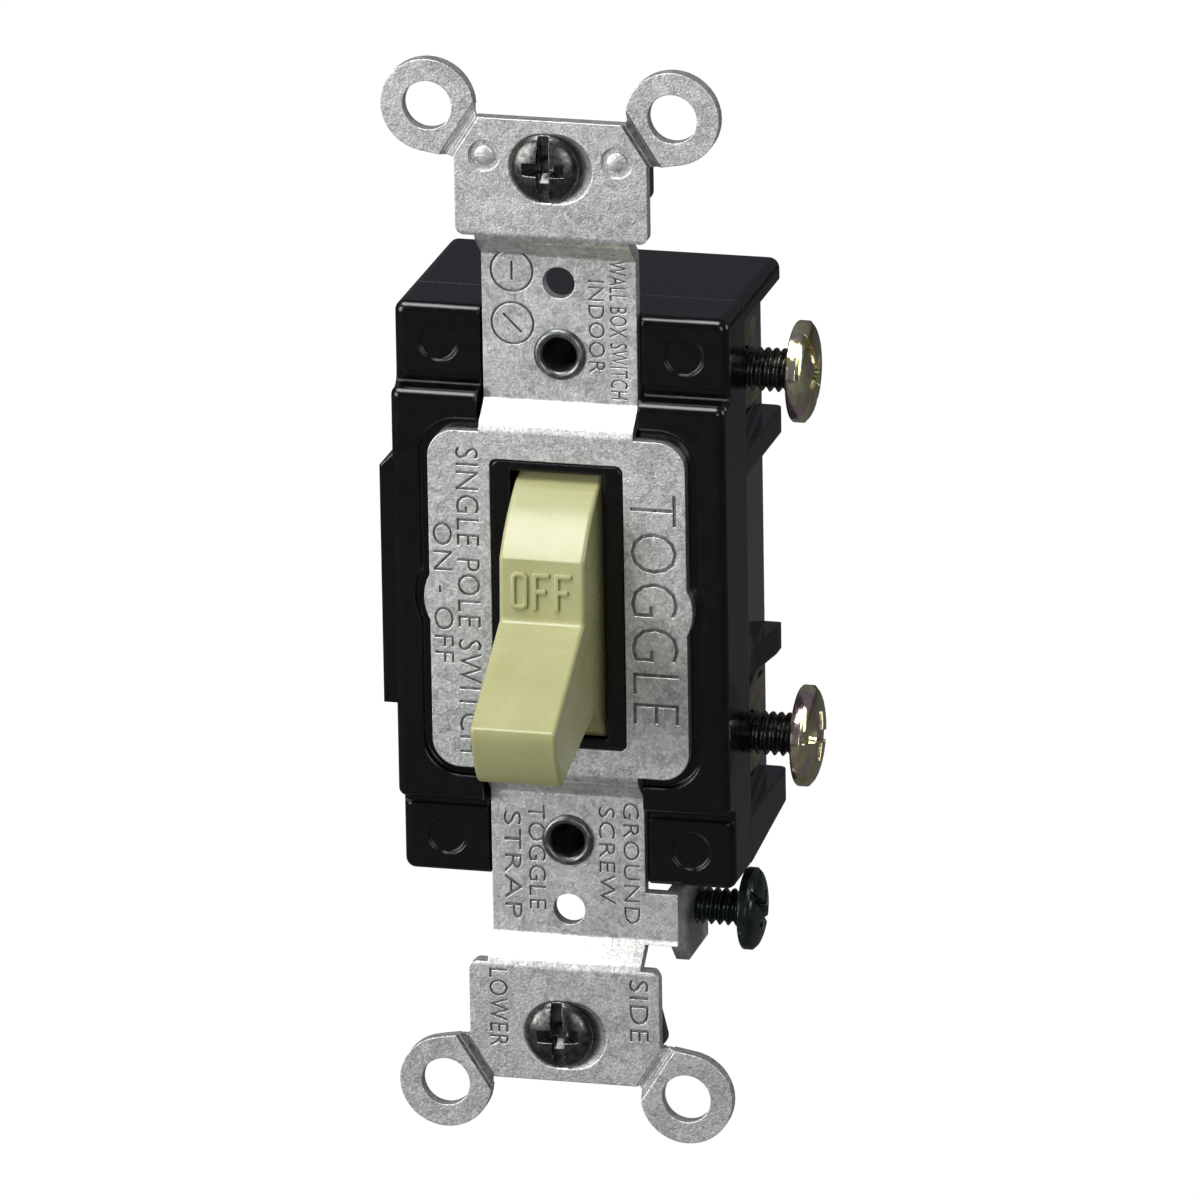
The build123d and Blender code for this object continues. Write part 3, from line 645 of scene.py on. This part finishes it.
# ----------------------------------------------------------------------------- strap
@dataclass(frozen=True)
class Stamp:
    """One word of the strap's stamping, read downwards.

    Attributes:
        words: the words.
        x: lowest and highest X of the capitals, in mm.
        z: Z where the words start and where they end, in mm.
        surface: Y of the strap's face there, in mm.
        thin: thinning of the strokes.
    """
    words: str
    x: Pair
    z: Pair
    surface: float
    thin: float = -0.02


@dataclass
class StrapPlate:
    """Stamped steel strap with its ears, joggles, ground tab and generic stampings.

    Attributes:
        shop: the workshop.
        recess_step, centre_step: steps between the end plates, set-back runs and centre plate.
        depth: depth of the stampings.
        dimple_at, dimple_depth: place and depth of the right-hand half-sheared dimple.
        ring_x, ring_z, ring_r, ring_bar: place, radii and bar width of the circle stampings.
        score_in, score_out: ends of the line where the upper right ear snaps off.
        groove_half, groove_proud: half the groove cutter's side, and how far its middle stands
            in front of the face.
        edge: rounding of the sheet's edges.
        end_y, recess_y, centre_y: depths of the three levels, read off the frame.
    """
    shop: Workshop
    recess_step: float = 2.4
    centre_step: float = 2.2
    depth: float = 0.16
    dimple_at: Pair = (6.2, 42.6)
    dimple_depth: float = 0.3
    ring_x: float = -4.4
    ring_z: Pair = (31.1, 26.1)
    ring_r: Pair = (1.86, 2.06)
    ring_bar: float = 0.2
    score_in: Pair = (7.1, 46.6)
    score_out: Pair = (9.8, 42.35)
    groove_half: float = 0.43
    groove_proud: float = 0.013
    edge: float = 0.13
    end_y: float = field(init=False)
    recess_y: float = field(init=False)
    centre_y: float = field(init=False)

    def __post_init__(self) -> None:
        """Reads the faces' depths off the frame."""
        self.end_y = corners("strap")[0].y
        self.recess_y = self.end_y + self.recess_step
        self.centre_y = self.recess_y - self.centre_step

    def stamps(self) -> Tuple[Stamp, ...]:
        """Returns the generic words and where they stand."""
        centre, recess, end = self.centre_y, self.recess_y, self.end_y
        return (
            Stamp("TOGGLE", (6.9, 11.3), (11.2, -10.9), centre, -0.13),
            Stamp("SINGLE POLE SWITCH", (-9.45, -7.3), (14.6, -14.8), centre, -0.03),
            Stamp("ON - OFF", (-11.7, -9.9), (7.3, -6.2), centre, -0.03),
            Stamp("WALL BOX SWITCH", (4.75, 6.35), (32.6, 19.4), recess, -0.02),
            Stamp("INDOOR", (2.75, 4.25), (30.6, 21.8), recess, -0.02),
            Stamp("TOGGLE", (-3.75, -2.15), (-20.2, -30.4), recess, -0.02),
            Stamp("STRAP", (-6.05, -4.45), (-21.0, -31.4), recess, -0.02),
            Stamp("GROUND", (5.25, 6.75), (-19.4, -31.2), recess, -0.02),
            Stamp("SCREW", (2.95, 4.45), (-20.0, -29.4), recess, -0.02),
            Stamp("LOWER", (-7.1, -5.35), (-35.6, -43.2), end, -0.02),
            Stamp("SIDE", (6.2, 8.0), (-35.8, -41.8), end, -0.02),
        )

    def stamp_cutter(self, stamp: Stamp, index: int) -> bpy.types.Object:
        """Makes the cutter of one word.

        Args:
            stamp: the word.
            index: number used in the name.
        Returns:
            The cutter.
        """
        middle = Vector(((stamp.x[0] + stamp.x[1]) / 2, stamp.surface, (stamp.z[0] + stamp.z[1]) / 2))
        # letters' x runs down the strap, their y to the right
        place = Matrix(((0, 1, 0, middle.x), (0, 0, -1, middle.y), (-1, 0, 0, middle.z), (0, 0, 0, 1)))
        return self.shop.lettering(f"stamp_{index}", stamp.words, stamp.x[1] - stamp.x[0], 2 * self.depth,
                                   stamp.thin, place, 1.05, abs(stamp.z[0] - stamp.z[1]))

    def rings(self) -> bpy.types.Object:
        """Returns the cutter of the two circle stampings with plain bars in them."""
        bm = bmesh.new()
        low, high = self.ring_r
        upper, lower = (Vector((self.ring_x, self.recess_y, z)) for z in self.ring_z)
        deep = self.depth
        profile = [(-deep, low), (deep, low), (deep, high), (-deep, high), (-deep, low)]
        for centre in (upper, lower):
            join(bm, lathe(profile, Vector((0, 1, 0)), centre, 48))
        half = self.ring_bar / 2
        slant = Matrix.Translation(lower) @ Matrix.Rotation(math.radians(45), 4, "Y")
        block(bm, (-1.2, -deep, -half), (1.2, deep, half), slant)
        block(bm, (-half, -deep, -0.9), (half, deep, 0.9), Matrix.Translation(upper))
        return self.shop.place("ring_cutter", bm)

    def dimples(self) -> None:
        """Adds the raised button in the middle of each half-sheared dimple."""
        x, z = self.dimple_at
        for side, right in (("right", 1), ("left", -1)):
            floor = Vector((right * x, self.end_y + self.dimple_depth, z))
            profile = [(-0.24, 0.0), (-0.24, 0.72), (-0.18, 0.90), (-0.04, 0.98), (0.10, 0.98),
                       (0.10, 0.0)]
            button = lathe(profile, Vector((0, 1, 0)), floor, 40)
            piece = self.shop.place(f"dimple_button_{side}", button)
            self.shop.deliver(piece, Body.FRAME, Slot.ZINC)

    def grooves(self) -> Tuple[List[bpy.types.Object], List[bpy.types.Object]]:
        """Makes the cutters of the V grooves where the ears snap off.

        Returns:
            The cutters whose grooves get the darker zinc of painted shade, then the others.
        """
        inner = Vector((self.score_in[0], 0, self.score_in[1]))
        outer = Vector((self.score_out[0], 0, self.score_out[1]))
        middle, along = (inner + outer) / 2, outer - inner
        dark: List[bpy.types.Object] = []
        bright: List[bpy.types.Object] = []
        for right in (1, -1):
            for up in (1, -1):
                bm = bmesh.new()
                half = self.groove_half
                block(bm, (-5.07, -half, -half), (5.13, half, half))
                angle = math.atan2(up * along.z, right * along.x)
                for turn in (Matrix.Rotation(math.pi / 4, 3, "X"), Matrix.Rotation(-angle, 3, "Y")):
                    bmesh.ops.rotate(bm, verts=bm.verts, cent=Vector(), matrix=turn)
                place = Vector((right * middle.x, self.end_y - self.groove_proud, up * middle.z))
                bmesh.ops.translate(bm, verts=bm.verts, vec=place)
                # the upper right and lower left grooves get painted shade, darker zinc where light leaves
                # them in shade
                (dark if right == up else bright).append(self.shop.place("groove", bm))
        return dark, bright

    def build(self) -> None:
        """Copies the strap, rounds its edges, stamps it and delivers it."""
        strap = self.shop.node_copy("strap", "strap_plate")
        self.shop.soften(strap, self.edge, 2)
        cutters = [self.stamp_cutter(s, i) for i, s in enumerate(self.stamps())]
        cutters.append(self.rings())
        dark, plain = self.grooves()
        cutters += dark + plain
        # letters, circles and two ear grooves take the darker zinc: painted shade in their recesses
        for piece, index in [(strap, 0)] + [(c, 0 if c in plain else 1) for c in cutters]:
            piece.data.materials.clear()
            piece.data.materials.append(self.shop.material(Slot.ZINC))
            piece.data.materials.append(self.shop.painted_shade())
            for polygon in piece.data.polygons:
                polygon.material_index = index
        self.shop.carve(strap, cutters)
        self.shop.deliver(strap, Body.FRAME, Slot.ZINC, ["strap"], painted_shade=True)
        self.dimples()


# ----------------------------------------------------------------------------- case
@dataclass
class Case:
    """Moulded cover and base."""
    shop: Workshop
    pad_behind_collar: float = 2.3
    pin_at: Pair = (11.55, 23.8)
    pin_r: float = 1.8
    pin_depth: float = 0.15

    def build(self) -> None:
        """Finishes both mouldings."""
        cover = self.shop.node_copy("front_cover", "cover_moulding")
        self.shop.soften(cover, 0.22, 3)
        bm = bmesh.new()
        pad_y = corners("front_cover")[0].y + self.pad_behind_collar
        for x in (self.pin_at[0], -self.pin_at[0]):
            for z in (self.pin_at[1], -self.pin_at[1]):
                matrix = Matrix.Translation((x, pad_y, z)) @ Matrix.Rotation(math.pi / 2, 4, "X")
                bmesh.ops.create_cone(bm, cap_ends=True, segments=48, radius1=self.pin_r,
                                      radius2=self.pin_r, depth=2 * self.pin_depth, matrix=matrix)
        self.shop.carve(cover, [self.shop.place("pin_marks", bm)])
        self.shop.deliver(cover, Body.FRAME, Slot.PHENOLIC, ["front_cover"])
        base = self.shop.node_copy("base_housing", "base_moulding")
        self.shop.soften(base, 0.25, 3)
        self.shop.deliver(base, Body.FRAME, Slot.PHENOLIC, ["base_housing"])


# ----------------------------------------------------------------------------- handle
@dataclass
class ToggleLever:
    """Ivory handle: barrel, lettered faces and lever, with its trunnions and tail.

    Attributes:
        shop: the workshop.
        pivot_y: depth of the pivot.
        tilt: angle of the lever below level, in degrees, at OFF.
        half_w: half the handle's width.
        barrel_r, barrel_ease: barrel radius, and how far it eases in towards its ends.
        facet_b: height of the corner between barrel and lettered face.
        root, tip: (out, up) of the lever's root and tip corners.
        trunnion_r, bore_r, bore_end: trunnion radius, plunger bore radius and its inner end.
        edge: rounding of the edges.
        letter_w, letter_h, letter_gap, stroke: sizes of the raised letters.
        letter_rise, letter_sunk: how far they stand out of the face, and reach into it.
    """
    shop: Workshop
    pivot_y: float = 5.5
    tilt: float = 22.5
    half_w: float = 4.0
    barrel_r: float = 13.8
    barrel_ease: float = 0.65
    trunnion_r: float = 1.6
    bore_r: float = 1.45
    bore_end: float = 3.5
    edge: float = 0.5
    letter_w: float = 1.6
    letter_h: float = 3.5
    letter_gap: float = 0.45
    letter_rise: float = 0.25
    letter_sunk: float = 0.2
    stroke: float = 0.42
    facet_b: float = 10.42
    root: Pair = (11.5, 5.15)
    tip: Pair = (24.2, 3.25)

    def point(self, a: float, b: float, x: float) -> Vector:
        """Turns a place on the handle into the row frame.

        Args:
            a: distance out along the lever's middle line.
            b: distance above it.
            x: X.
        Returns:
            The point in mm, with the handle at OFF.
        """
        t = math.radians(self.tilt)
        return Vector((x, self.pivot_y - a * math.cos(t) - b * math.sin(t),
                       -a * math.sin(t) + b * math.cos(t)))

    def outline(self) -> List[Pair]:
        """Returns the handle's outline in its own (out, up) frame."""
        facet_a = math.sqrt(self.barrel_r ** 2 - self.facet_b ** 2)
        start = math.degrees(math.atan2(self.facet_b, facet_a))
        upper = [(self.tip[0], self.tip[1]), self.root, (facet_a, self.facet_b)]
        for a, b in arc((0, 0), self.barrel_r, start, 92.0, 28)[1:]:
            inwards = 1.0 - self.barrel_ease / self.barrel_r * min(1.0, (b / self.facet_b - 1.0) / 0.28)
            upper.append((a * inwards, b * inwards))
        upper += [(-0.5, 2.2), (-5.0, 2.2)]
        lower = [(a, -b) for a, b in reversed(upper)]
        crown = [(self.tip[0] + 0.7 * math.cos(math.radians(t)), self.tip[1] * math.sin(math.radians(t)))
                 for t in range(-75, 90, 15)]
        return upper + lower + crown

    def letter(self, letter: str) -> List[List[Pair]]:
        """Outlines of one boxy capital, its lower left corner at the origin.

        Args:
            letter: "O", "F" or "N".
        Returns:
            The outer outline, then the hole's if it has one, with points that pair up.
        """
        w, h, t = self.letter_w, self.letter_h, self.stroke

        def ring(gap: float, cut: float) -> List[Pair]:
            """Returns a rectangle set in by gap, its corners cut off."""
            low, right, top = gap, w - gap, h - gap
            return [(low + cut, low), (right - cut, low), (right, low + cut), (right, top - cut),
                    (right - cut, top), (low + cut, top), (low, top - cut), (low, low + cut)]

        if letter == "O":
            return [ring(0.0, 0.34), ring(t, 0.14)]
        if letter == "F":
            bar = h * 0.44
            return [[(0, 0), (t, 0), (t, bar), (w * 0.8, bar), (w * 0.8, bar + t), (t, bar + t), (t, h - t),
                     (w, h - t), (w, h), (0, h)]]
        return [[(0, 0), (t, 0), (t, h - 2.2 * t), (w - t, 0), (w, 0), (w, h), (w - t, h), (w - t, 2.2 * t),
                 (t, h), (0, h)]]

    def words(self, name: str, text: str, sign: int) -> bpy.types.Object:
        """Makes one raised word on a lettered face.

        Args:
            name: object name.
            text: the word.
            sign: 1 for the upper face, -1 for the lower.
        Returns:
            The word's object.
        """
        facet_a = math.sqrt(self.barrel_r ** 2 - self.facet_b ** 2)
        top = self.point(facet_a, sign * self.facet_b, 0)
        foot = self.point(self.root[0], sign * self.root[1], 0)
        up = (top - foot).normalized() * sign
        right = Vector((1, 0, 0))
        out = right.cross(up)
        middle = foot.lerp(top, 0.5)
        sunk = self.letter_sunk
        step = self.letter_w + self.letter_gap
        start = -(len(text) * step - self.letter_gap) / 2
        bm = bmesh.new()
        for index, letter in enumerate(text):
            outlines = self.letter(letter)
            corner = middle + right * (start + index * step) - up * self.letter_h / 2 - out * sunk
            loops = [[bm.verts.new(corner + right * a + up * b) for a, b in outline]
                     for outline in outlines]
            if len(loops) == 2:
                pairs = zip(loops[0], loops[0][1:] + loops[0][:1], loops[1][1:] + loops[1][:1], loops[1])
                faces = [bm.faces.new(quad) for quad in pairs]
            else:
                faces = [bm.faces.new(loops[0])]
            raised = bmesh.ops.extrude_face_region(bm, geom=faces)["geom"]
            bmesh.ops.translate(bm, vec=out * (sunk + self.letter_rise),
                                verts=[g for g in raised if isinstance(g, bmesh.types.BMVert)])
        return self.shop.place(name, bm)

    def build(self) -> None:
        """Builds the handle and its raised words."""
        bm = prism(self.outline(), self.point, -self.half_w, self.half_w)
        bmesh.ops.recalc_face_normals(bm, faces=bm.faces)
        sharp = [e for e in bm.edges if len(e.link_faces) == 2
                 and math.degrees(e.calc_face_angle(0.0)) > 35.0]
        bmesh.ops.bevel(bm, geom=sharp, offset=self.edge, segments=5, profile=0.5, affect="EDGES",
                        material=-1, clamp_overlap=True)
        handle = self.shop.place("handle_moulding", bm)
        t = math.radians(self.tilt)
        axis = Vector((0, -math.cos(t), -math.sin(t)))
        bore = [(-6.0, 0.0), (-6.0, self.bore_r), (self.bore_end, self.bore_r), (self.bore_end, 0.0)]
        hole = lathe(bore, axis, Vector((0, self.pivot_y, 0)), 32)
        self.shop.carve(handle, [self.shop.place("plunger_bore", hole)])
        self.shop.deliver(handle, Body.HANDLE, Slot.IVORY, ["toggle_handle"], 30.0)
        pins = bmesh.new()
        across = Matrix.Rotation(math.pi / 2, 4, "Y")
        for low, high in ((-5.9, -3.9), (3.9, 5.9)):
            matrix = Matrix.Translation(((low + high) / 2, self.pivot_y, 0)) @ across
            bmesh.ops.create_cone(pins, cap_ends=True, segments=40, radius1=self.trunnion_r,
                                  radius2=self.trunnion_r, depth=high - low, matrix=matrix)
        piece = self.shop.place("handle_trunnions", pins)
        self.shop.deliver(piece, Body.HANDLE, Slot.IVORY)
        for name, text, sign in (("word_off", "OFF", 1), ("word_on", "ON", -1)):
            word = self.words(name, text, sign)
            self.shop.soften(word, 0.08, 2, 40.0)
            self.shop.deliver(word, Body.HANDLE, Slot.IVORY)


# ----------------------------------------------------------------------------- screws and rivets
@dataclass(frozen=True)
class ScrewSizes:
    """Sizes of one screw, in mm.

    Attributes:
        head_r: head radius.
        rim: height of the head's straight rim.
        dome: height of its crown.
        cone: height of a countersink under the head, 0 for a flat seat.
        shank_r: thread outside radius.
        pitch: thread pitch.
        length: from the head's seat, or its rim when countersunk, to the point.
        slot_w: driver slot width.
        cross: length of the cross recess's arms.
    """
    head_r: float
    rim: float
    dome: float
    cone: float
    shank_r: float
    pitch: float
    length: float
    slot_w: float
    cross: float


@dataclass
class Screw:
    """A machine screw with a combination recess and a real thread.

    Attributes:
        shop: the workshop.
        name, node, body, head_slot: piece name, CAD node, body and finish.
        sizes: the screw's sizes.
        seat, axis, turn: head's seat in mm, way in, and how far the recess is turned.
        slot_depth: depth of the slot below the crown.
        arm_half, arm_depth, arm_rise: half width, depth and overshoot of the cross's arms.
        arm_taper: width and length of the arms' foot as shares of their top.
        thread_depth: depth of the thread as a share of the pitch.
        point_length, point_taper: length of the point, and how much it narrows.
    """
    shop: Workshop
    name: str
    node: str
    body: Body
    head_slot: Slot
    sizes: ScrewSizes
    seat: Vector
    axis: Vector
    turn: float = 0.0
    slot_depth: float = 0.80
    arm_half: float = 0.66
    arm_depth: float = 1.55
    arm_rise: float = 0.3
    arm_taper: Pair = (0.55, 0.26)
    thread_depth: float = 0.54
    point_length: float = 0.8
    point_taper: float = 0.28

    def head_profile(self) -> List[Pair]:
        """Returns the head's profile, from its crown (negative) to the shank."""
        s = self.sizes
        top = -s.rim
        crown = [(top - s.dome * math.cos(math.radians(a)), s.head_r * math.sin(math.radians(a)) * 0.97)
                 for a in range(0, 85, 7)]
        under = [(s.cone, s.shank_r)] if s.cone > 0 else [(0.0, s.head_r - 0.12), (0.0, s.shank_r * 0.9)]
        side = [(top, s.head_r)] + ([(-0.12, s.head_r)] if s.rim > 0.2 else [])
        return crown + side + under + [(s.cone + 0.3, s.shank_r * 0.9), (s.cone + 0.3, 0.0)]

    def recess(self) -> List[bpy.types.Object]:
        """Returns the cutters of the slot and the cross."""
        s = self.sizes
        top = s.rim + s.dome
        bm = bmesh.new()
        out = -self.axis
        right = Vector((1, 0, 0)) if abs(out.x) < 0.9 else Vector((0, 1, 0))
        up = out.cross(right).normalized()
        base = Matrix((
            (right.x, up.x, out.x, self.seat.x), (right.y, up.y, out.y, self.seat.y),
            (right.z, up.z, out.z, self.seat.z), (0, 0, 0, 1))) @ Matrix.Rotation(self.turn, 4, "Z")
        block(bm, (-s.slot_w / 2, -1.2 * s.head_r, top - self.slot_depth),
              (s.slot_w / 2, 1.2 * s.head_r, top + 1), base)
        cutters = [self.shop.place(f"{self.name}_slot", bm)]
        for quarter in (0, 1):
            arm = bmesh.new()
            verts = block(arm, (-self.arm_half, -s.cross / 2, top - self.arm_depth),
                          (self.arm_half, s.cross / 2, top + self.arm_rise))
            low = [v for v in verts if v.co.z < top]
            bmesh.ops.scale(arm, vec=Vector((*self.arm_taper, 1.0)), verts=low)
            turn = Matrix.Rotation(quarter * math.pi / 2, 4, "Z")
            bmesh.ops.transform(arm, matrix=base @ turn, verts=verts)
            cutters.append(self.shop.place(f"{self.name}_arm_{quarter}", arm))
        return cutters

    def thread(self) -> bmesh.types.BMesh:
        """Returns the threaded shank."""
        s = self.sizes
        start = s.cone + 0.2
        rows = int((s.length - start) / s.pitch * 10)
        steps = 40
        depth = self.thread_depth * s.pitch
        profile = [(start + (s.length - start) * i / rows, s.shank_r) for i in range(rows + 1)]
        bm = lathe(profile, self.axis, self.seat, steps)
        side = Vector((0, 0, 1)) if abs(self.axis.z) < 0.9 else Vector((1, 0, 0))
        other = self.axis.cross(side)
        for vert in bm.verts:
            rel = vert.co - self.seat
            along = rel.dot(self.axis)
            flat = rel - self.axis * along
            angle = math.atan2(flat.dot(other), flat.dot(side))
            phase = (along / s.pitch + angle / math.tau) % 1.0
            height = 1.0 - abs(2.0 * phase - 1.0)
            height = min(1.0, max(0.0, height * 1.25 - 0.12))
            point = min(1.0, max(0.0, (s.length - along) / self.point_length))
            radius = (s.shank_r - depth * (1.0 - height)) * (1.0 - self.point_taper * (1.0 - point))
            vert.co = self.seat + self.axis * along + flat.normalized() * radius
        ends = [e for e in bm.edges if e.is_boundary]
        bmesh.ops.holes_fill(bm, edges=ends, sides=0)
        return bm

    def build(self) -> None:
        """Builds the head and the shank and delivers both."""
        head = self.shop.place(f"{self.name}_head", lathe(self.head_profile(), self.axis, self.seat, 72))
        self.shop.carve(head, self.recess())
        self.shop.soften(head, 0.07, 2, 40.0)
        self.shop.deliver(head, self.body, self.head_slot, [self.node])
        shank = self.shop.place(f"{self.name}_shank", self.thread())
        slot = Slot.SCREW if self.head_slot is Slot.TERMINAL_SCREW else self.head_slot
        self.shop.deliver(shank, self.body, slot)


@dataclass
class Rivet:
    """Hollow rivet with rolled ends."""
    shop: Workshop
    name: str
    node: str
    roll: float = 0.6

    def build(self) -> None:
        """Turns the rivet."""
        low, middle, high = corners(self.node)
        recess_y, back_y = low.y + self.roll, high.y - self.roll
        front = arc((recess_y - 0.02, 2.02), 0.44, -90, -270, 14)
        profile = [(recess_y - 0.02, 1.58)]
        profile += [(a, b) for a, b in front]
        profile += [(recess_y, 1.95), (back_y, 1.95)]
        profile += arc((back_y + 0.04, 2.02), 0.44, 90, -90, 14)
        profile += [(back_y - 0.4, 1.58), (recess_y + 0.4, 1.58), (recess_y - 0.02, 1.58)]
        bm = lathe(profile, Vector((0, 1, 0)), Vector((0, 0, middle.z)), 64)
        self.shop.deliver(self.shop.place(self.name, bm), Body.FRAME, Slot.RIVET, [self.node], 50.0)


# ----------------------------------------------------------------------------- fasteners as a set
@dataclass
class Fasteners:
    """All screws and rivets."""
    shop: Workshop
    mounting: ScrewSizes = ScrewSizes(3.2, 0.0, 0.78, 1.25, 1.75, 0.794, 9.9, 1.05, 4.9)
    terminal: ScrewSizes = ScrewSizes(4.7, 0.95, 1.00, 0.0, 2.05, 0.794, 7.15, 1.0, 5.6)
    ground: ScrewSizes = ScrewSizes(3.83, 0.85, 0.98, 0.0, 1.75, 0.80, 6.4, 0.9, 4.6)
    crown: float = 0.75

    def build(self) -> None:
        """Builds every screw and rivet."""
        into, inwards = Vector((0, 1, 0)), Vector((-1, 0, 0))
        for node, body, turn in (("upper_mounting_screw", Body.UPPER_MOUNTING, 0.0),
                                 ("lower_mounting_screw", Body.LOWER_MOUNTING, 0.05)):
            low, middle, _ = corners(node)
            seat = Vector((middle.x, low.y + self.crown, middle.z))
            Screw(self.shop, node, node, body, Slot.SCREW, self.mounting, seat, into, turn).build()
        for node, body, slot, sizes, head, turn in (
                ("line_terminal_screw", Body.LINE_SCREW, Slot.TERMINAL_SCREW, self.terminal, 0.9, 0.5),
                ("load_terminal_screw", Body.LOAD_SCREW, Slot.TERMINAL_SCREW, self.terminal, 0.9, 1.3),
                ("ground_screw", Body.GROUND_SCREW, Slot.GROUND, self.ground, 0.8, 0.9)):
            _, middle, high = corners(node)
            seat = Vector((high.x - self.crown - head, middle.y, middle.z))
            Screw(self.shop, node, node, body, slot, sizes, seat, inwards, turn).build()
        for node in ("upper_rivet", "lower_rivet"):
            Rivet(self.shop, f"{node}_tube", node).build()


@dataclass
class PlungerSpring:
    """Coil spring in the handle's bore.

    Attributes:
        shop: the workshop.
        tilt: angle of the lever below level, in degrees, at OFF; not used.
        travel: how far the plunger slides; not used.
    """
    shop: Workshop
    tilt: float = 22.5
    travel: float = 0.8

    def build(self) -> None:
        """Copies the coil and delivers it on the handle with its finish."""
        spring = self.shop.node_copy("plunger_spring", "plunger_coil")
        self.shop.deliver(spring, Body.HANDLE, Slot.SPRING, ["plunger_spring"], 60.0)
        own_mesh(spring)


@dataclass
class Works:
    """Inner pieces carried over from the frame, each with its finish."""
    shop: Workshop

    def build(self) -> None:
        """Gives each carried-over node its material."""
        slots = {part["node"]: part["material_slot"] for part in frame["record"]["subparts"]}
        for name, node in frame["nodes"].items():
            if node.hide_render:
                continue
            material = self.shop.material(Slot(slots[name]))
            for material_slot in node.material_slots:
                material_slot.material = material
            log.info("%s: carried over with %s", name, slots[name])


# ----------------------------------------------------------------------------- studio
@dataclass(frozen=True)
class Softbox:
    """One soft light aimed at the object.

    Attributes:
        name: light name.
        place: position in metres.
        size: width and height in metres.
        power: watts.
    """
    name: str
    place: Point
    size: Pair
    power: float


SOFTBOXES: Tuple[Softbox, ...] = (
    Softbox("key_above", (-0.25, -0.35, 0.85), (0.7, 0.5), 11.0),
    Softbox("front_left", (-0.75, -0.85, 0.12), (0.6, 0.7), 10.0),
    Softbox("front_right", (0.45, -1.2, 0.15), (0.4, 0.5), 3.4),
    Softbox("right_side", (1.05, 0.22, 0.22), (0.40, 0.6), 4.0),
)


@dataclass
class Studio:
    """Camera, soft lights, pale floor and backdrop.

    Attributes:
        azimuth, elevation, roll: camera angles in degrees.
        distance: from the origin, in mm.
        aim: how far the camera stands to the right and up, in mm.
        lens: focal length in mm on a 36 mm sensor.
        white: brightness of the floor and world as the camera sees them.
    """
    azimuth: float = 14.536
    elevation: float = 18.435
    roll: float = -0.932
    distance: float = 1500.0
    aim: Pair = (3.571, 0.179)
    lens: float = 492.57
    white: float = 1.02

    def camera(self) -> None:
        """Sets the camera up."""
        az, el, ro = (math.radians(v) for v in (self.azimuth, self.elevation, self.roll))
        back = Vector((math.sin(az) * math.cos(el), -math.cos(az) * math.cos(el), math.sin(el)))
        right = Vector((math.cos(az), math.sin(az), 0.0))
        up = Vector((-math.sin(az) * math.sin(el), math.cos(az) * math.sin(el), math.cos(el)))
        right_r = right * math.cos(ro) + up * math.sin(ro)
        up_r = up * math.cos(ro) - right * math.sin(ro)
        place = (back * self.distance + right_r * self.aim[0] + up_r * self.aim[1]) * MM
        data = bpy.data.cameras.new("camera")
        data.lens = self.lens
        data.sensor_width = 36.0
        data.clip_start = 0.05
        data.clip_end = 20.0
        camera = bpy.data.objects.new("camera", data)
        camera.matrix_world = Matrix((
            (right_r.x, up_r.x, back.x, place.x), (right_r.y, up_r.y, back.y, place.y),
            (right_r.z, up_r.z, back.z, place.z), (0, 0, 0, 1)))
        bpy.context.scene.collection.objects.link(camera)
        bpy.context.scene.camera = camera

    def softbox(self, box: Softbox) -> None:
        """Adds one area light aimed at the object.

        Args:
            box: the light.
        """
        data = bpy.data.lights.new(box.name, "AREA")
        data.shape = "RECTANGLE"
        data.size, data.size_y = box.size
        data.energy = box.power
        light = bpy.data.objects.new(box.name, data)
        light.location = box.place
        light.rotation_euler = (-Vector(box.place)).to_track_quat("-Z", "Y").to_euler()
        bpy.context.scene.collection.objects.link(light)

    def backdrop(self) -> None:
        """Adds the floor and the world, both white to the eye and dim as a light."""
        bm = bmesh.new()
        bmesh.ops.create_grid(bm, x_segments=1, y_segments=1, size=6.0)
        bmesh.ops.translate(bm, vec=Vector((0, 0, -0.16)), verts=bm.verts)
        mesh = bpy.data.meshes.new("floor")
        bm.to_mesh(mesh)
        bm.free()
        floor = bpy.data.objects.new("floor", mesh)
        bpy.context.scene.collection.objects.link(floor)
        paint = bpy.data.materials.new("floor_paint")
        paint.use_nodes = True
        paint.node_tree.nodes.clear()
        graph = Graph(paint.node_tree)
        graph.to_camera("ShaderNodeOutputMaterial",
                        graph.add("ShaderNodeEmission", {"Strength": self.white}),
                        graph.add("ShaderNodeBsdfDiffuse", {"Color": (0.10, 0.10, 0.10, 1)}))
        mesh.materials.append(paint)
        world = bpy.data.worlds.new("studio")
        bpy.context.scene.world = world
        world.use_nodes = True
        world.node_tree.nodes.clear()
        graph = Graph(world.node_tree)
        graph.to_camera("ShaderNodeOutputWorld",
                        graph.add("ShaderNodeBackground", {"Strength": self.white}),
                        graph.add("ShaderNodeBackground", {"Color": (0.86, 0.88, 1.0, 1),
                                                           "Strength": 0.13}))

    def build(self) -> None:
        """Sets the whole studio up."""
        self.camera()
        self.backdrop()
        for light in SOFTBOXES:
            self.softbox(light)
        view = bpy.context.scene.view_settings
        view.view_transform = "Standard"
        view.look = "None"
        view.exposure = 0.0


def main() -> None:
    """Builds the switch and its studio."""
    shop = Workshop()
    StrapPlate(shop).build()
    Case(shop).build()
    ToggleLever(shop).build()
    Fasteners(shop).build()
    PlungerSpring(shop).build()
    Works(shop).build()
    Studio().build()


if __name__ == "__main__":
    main()
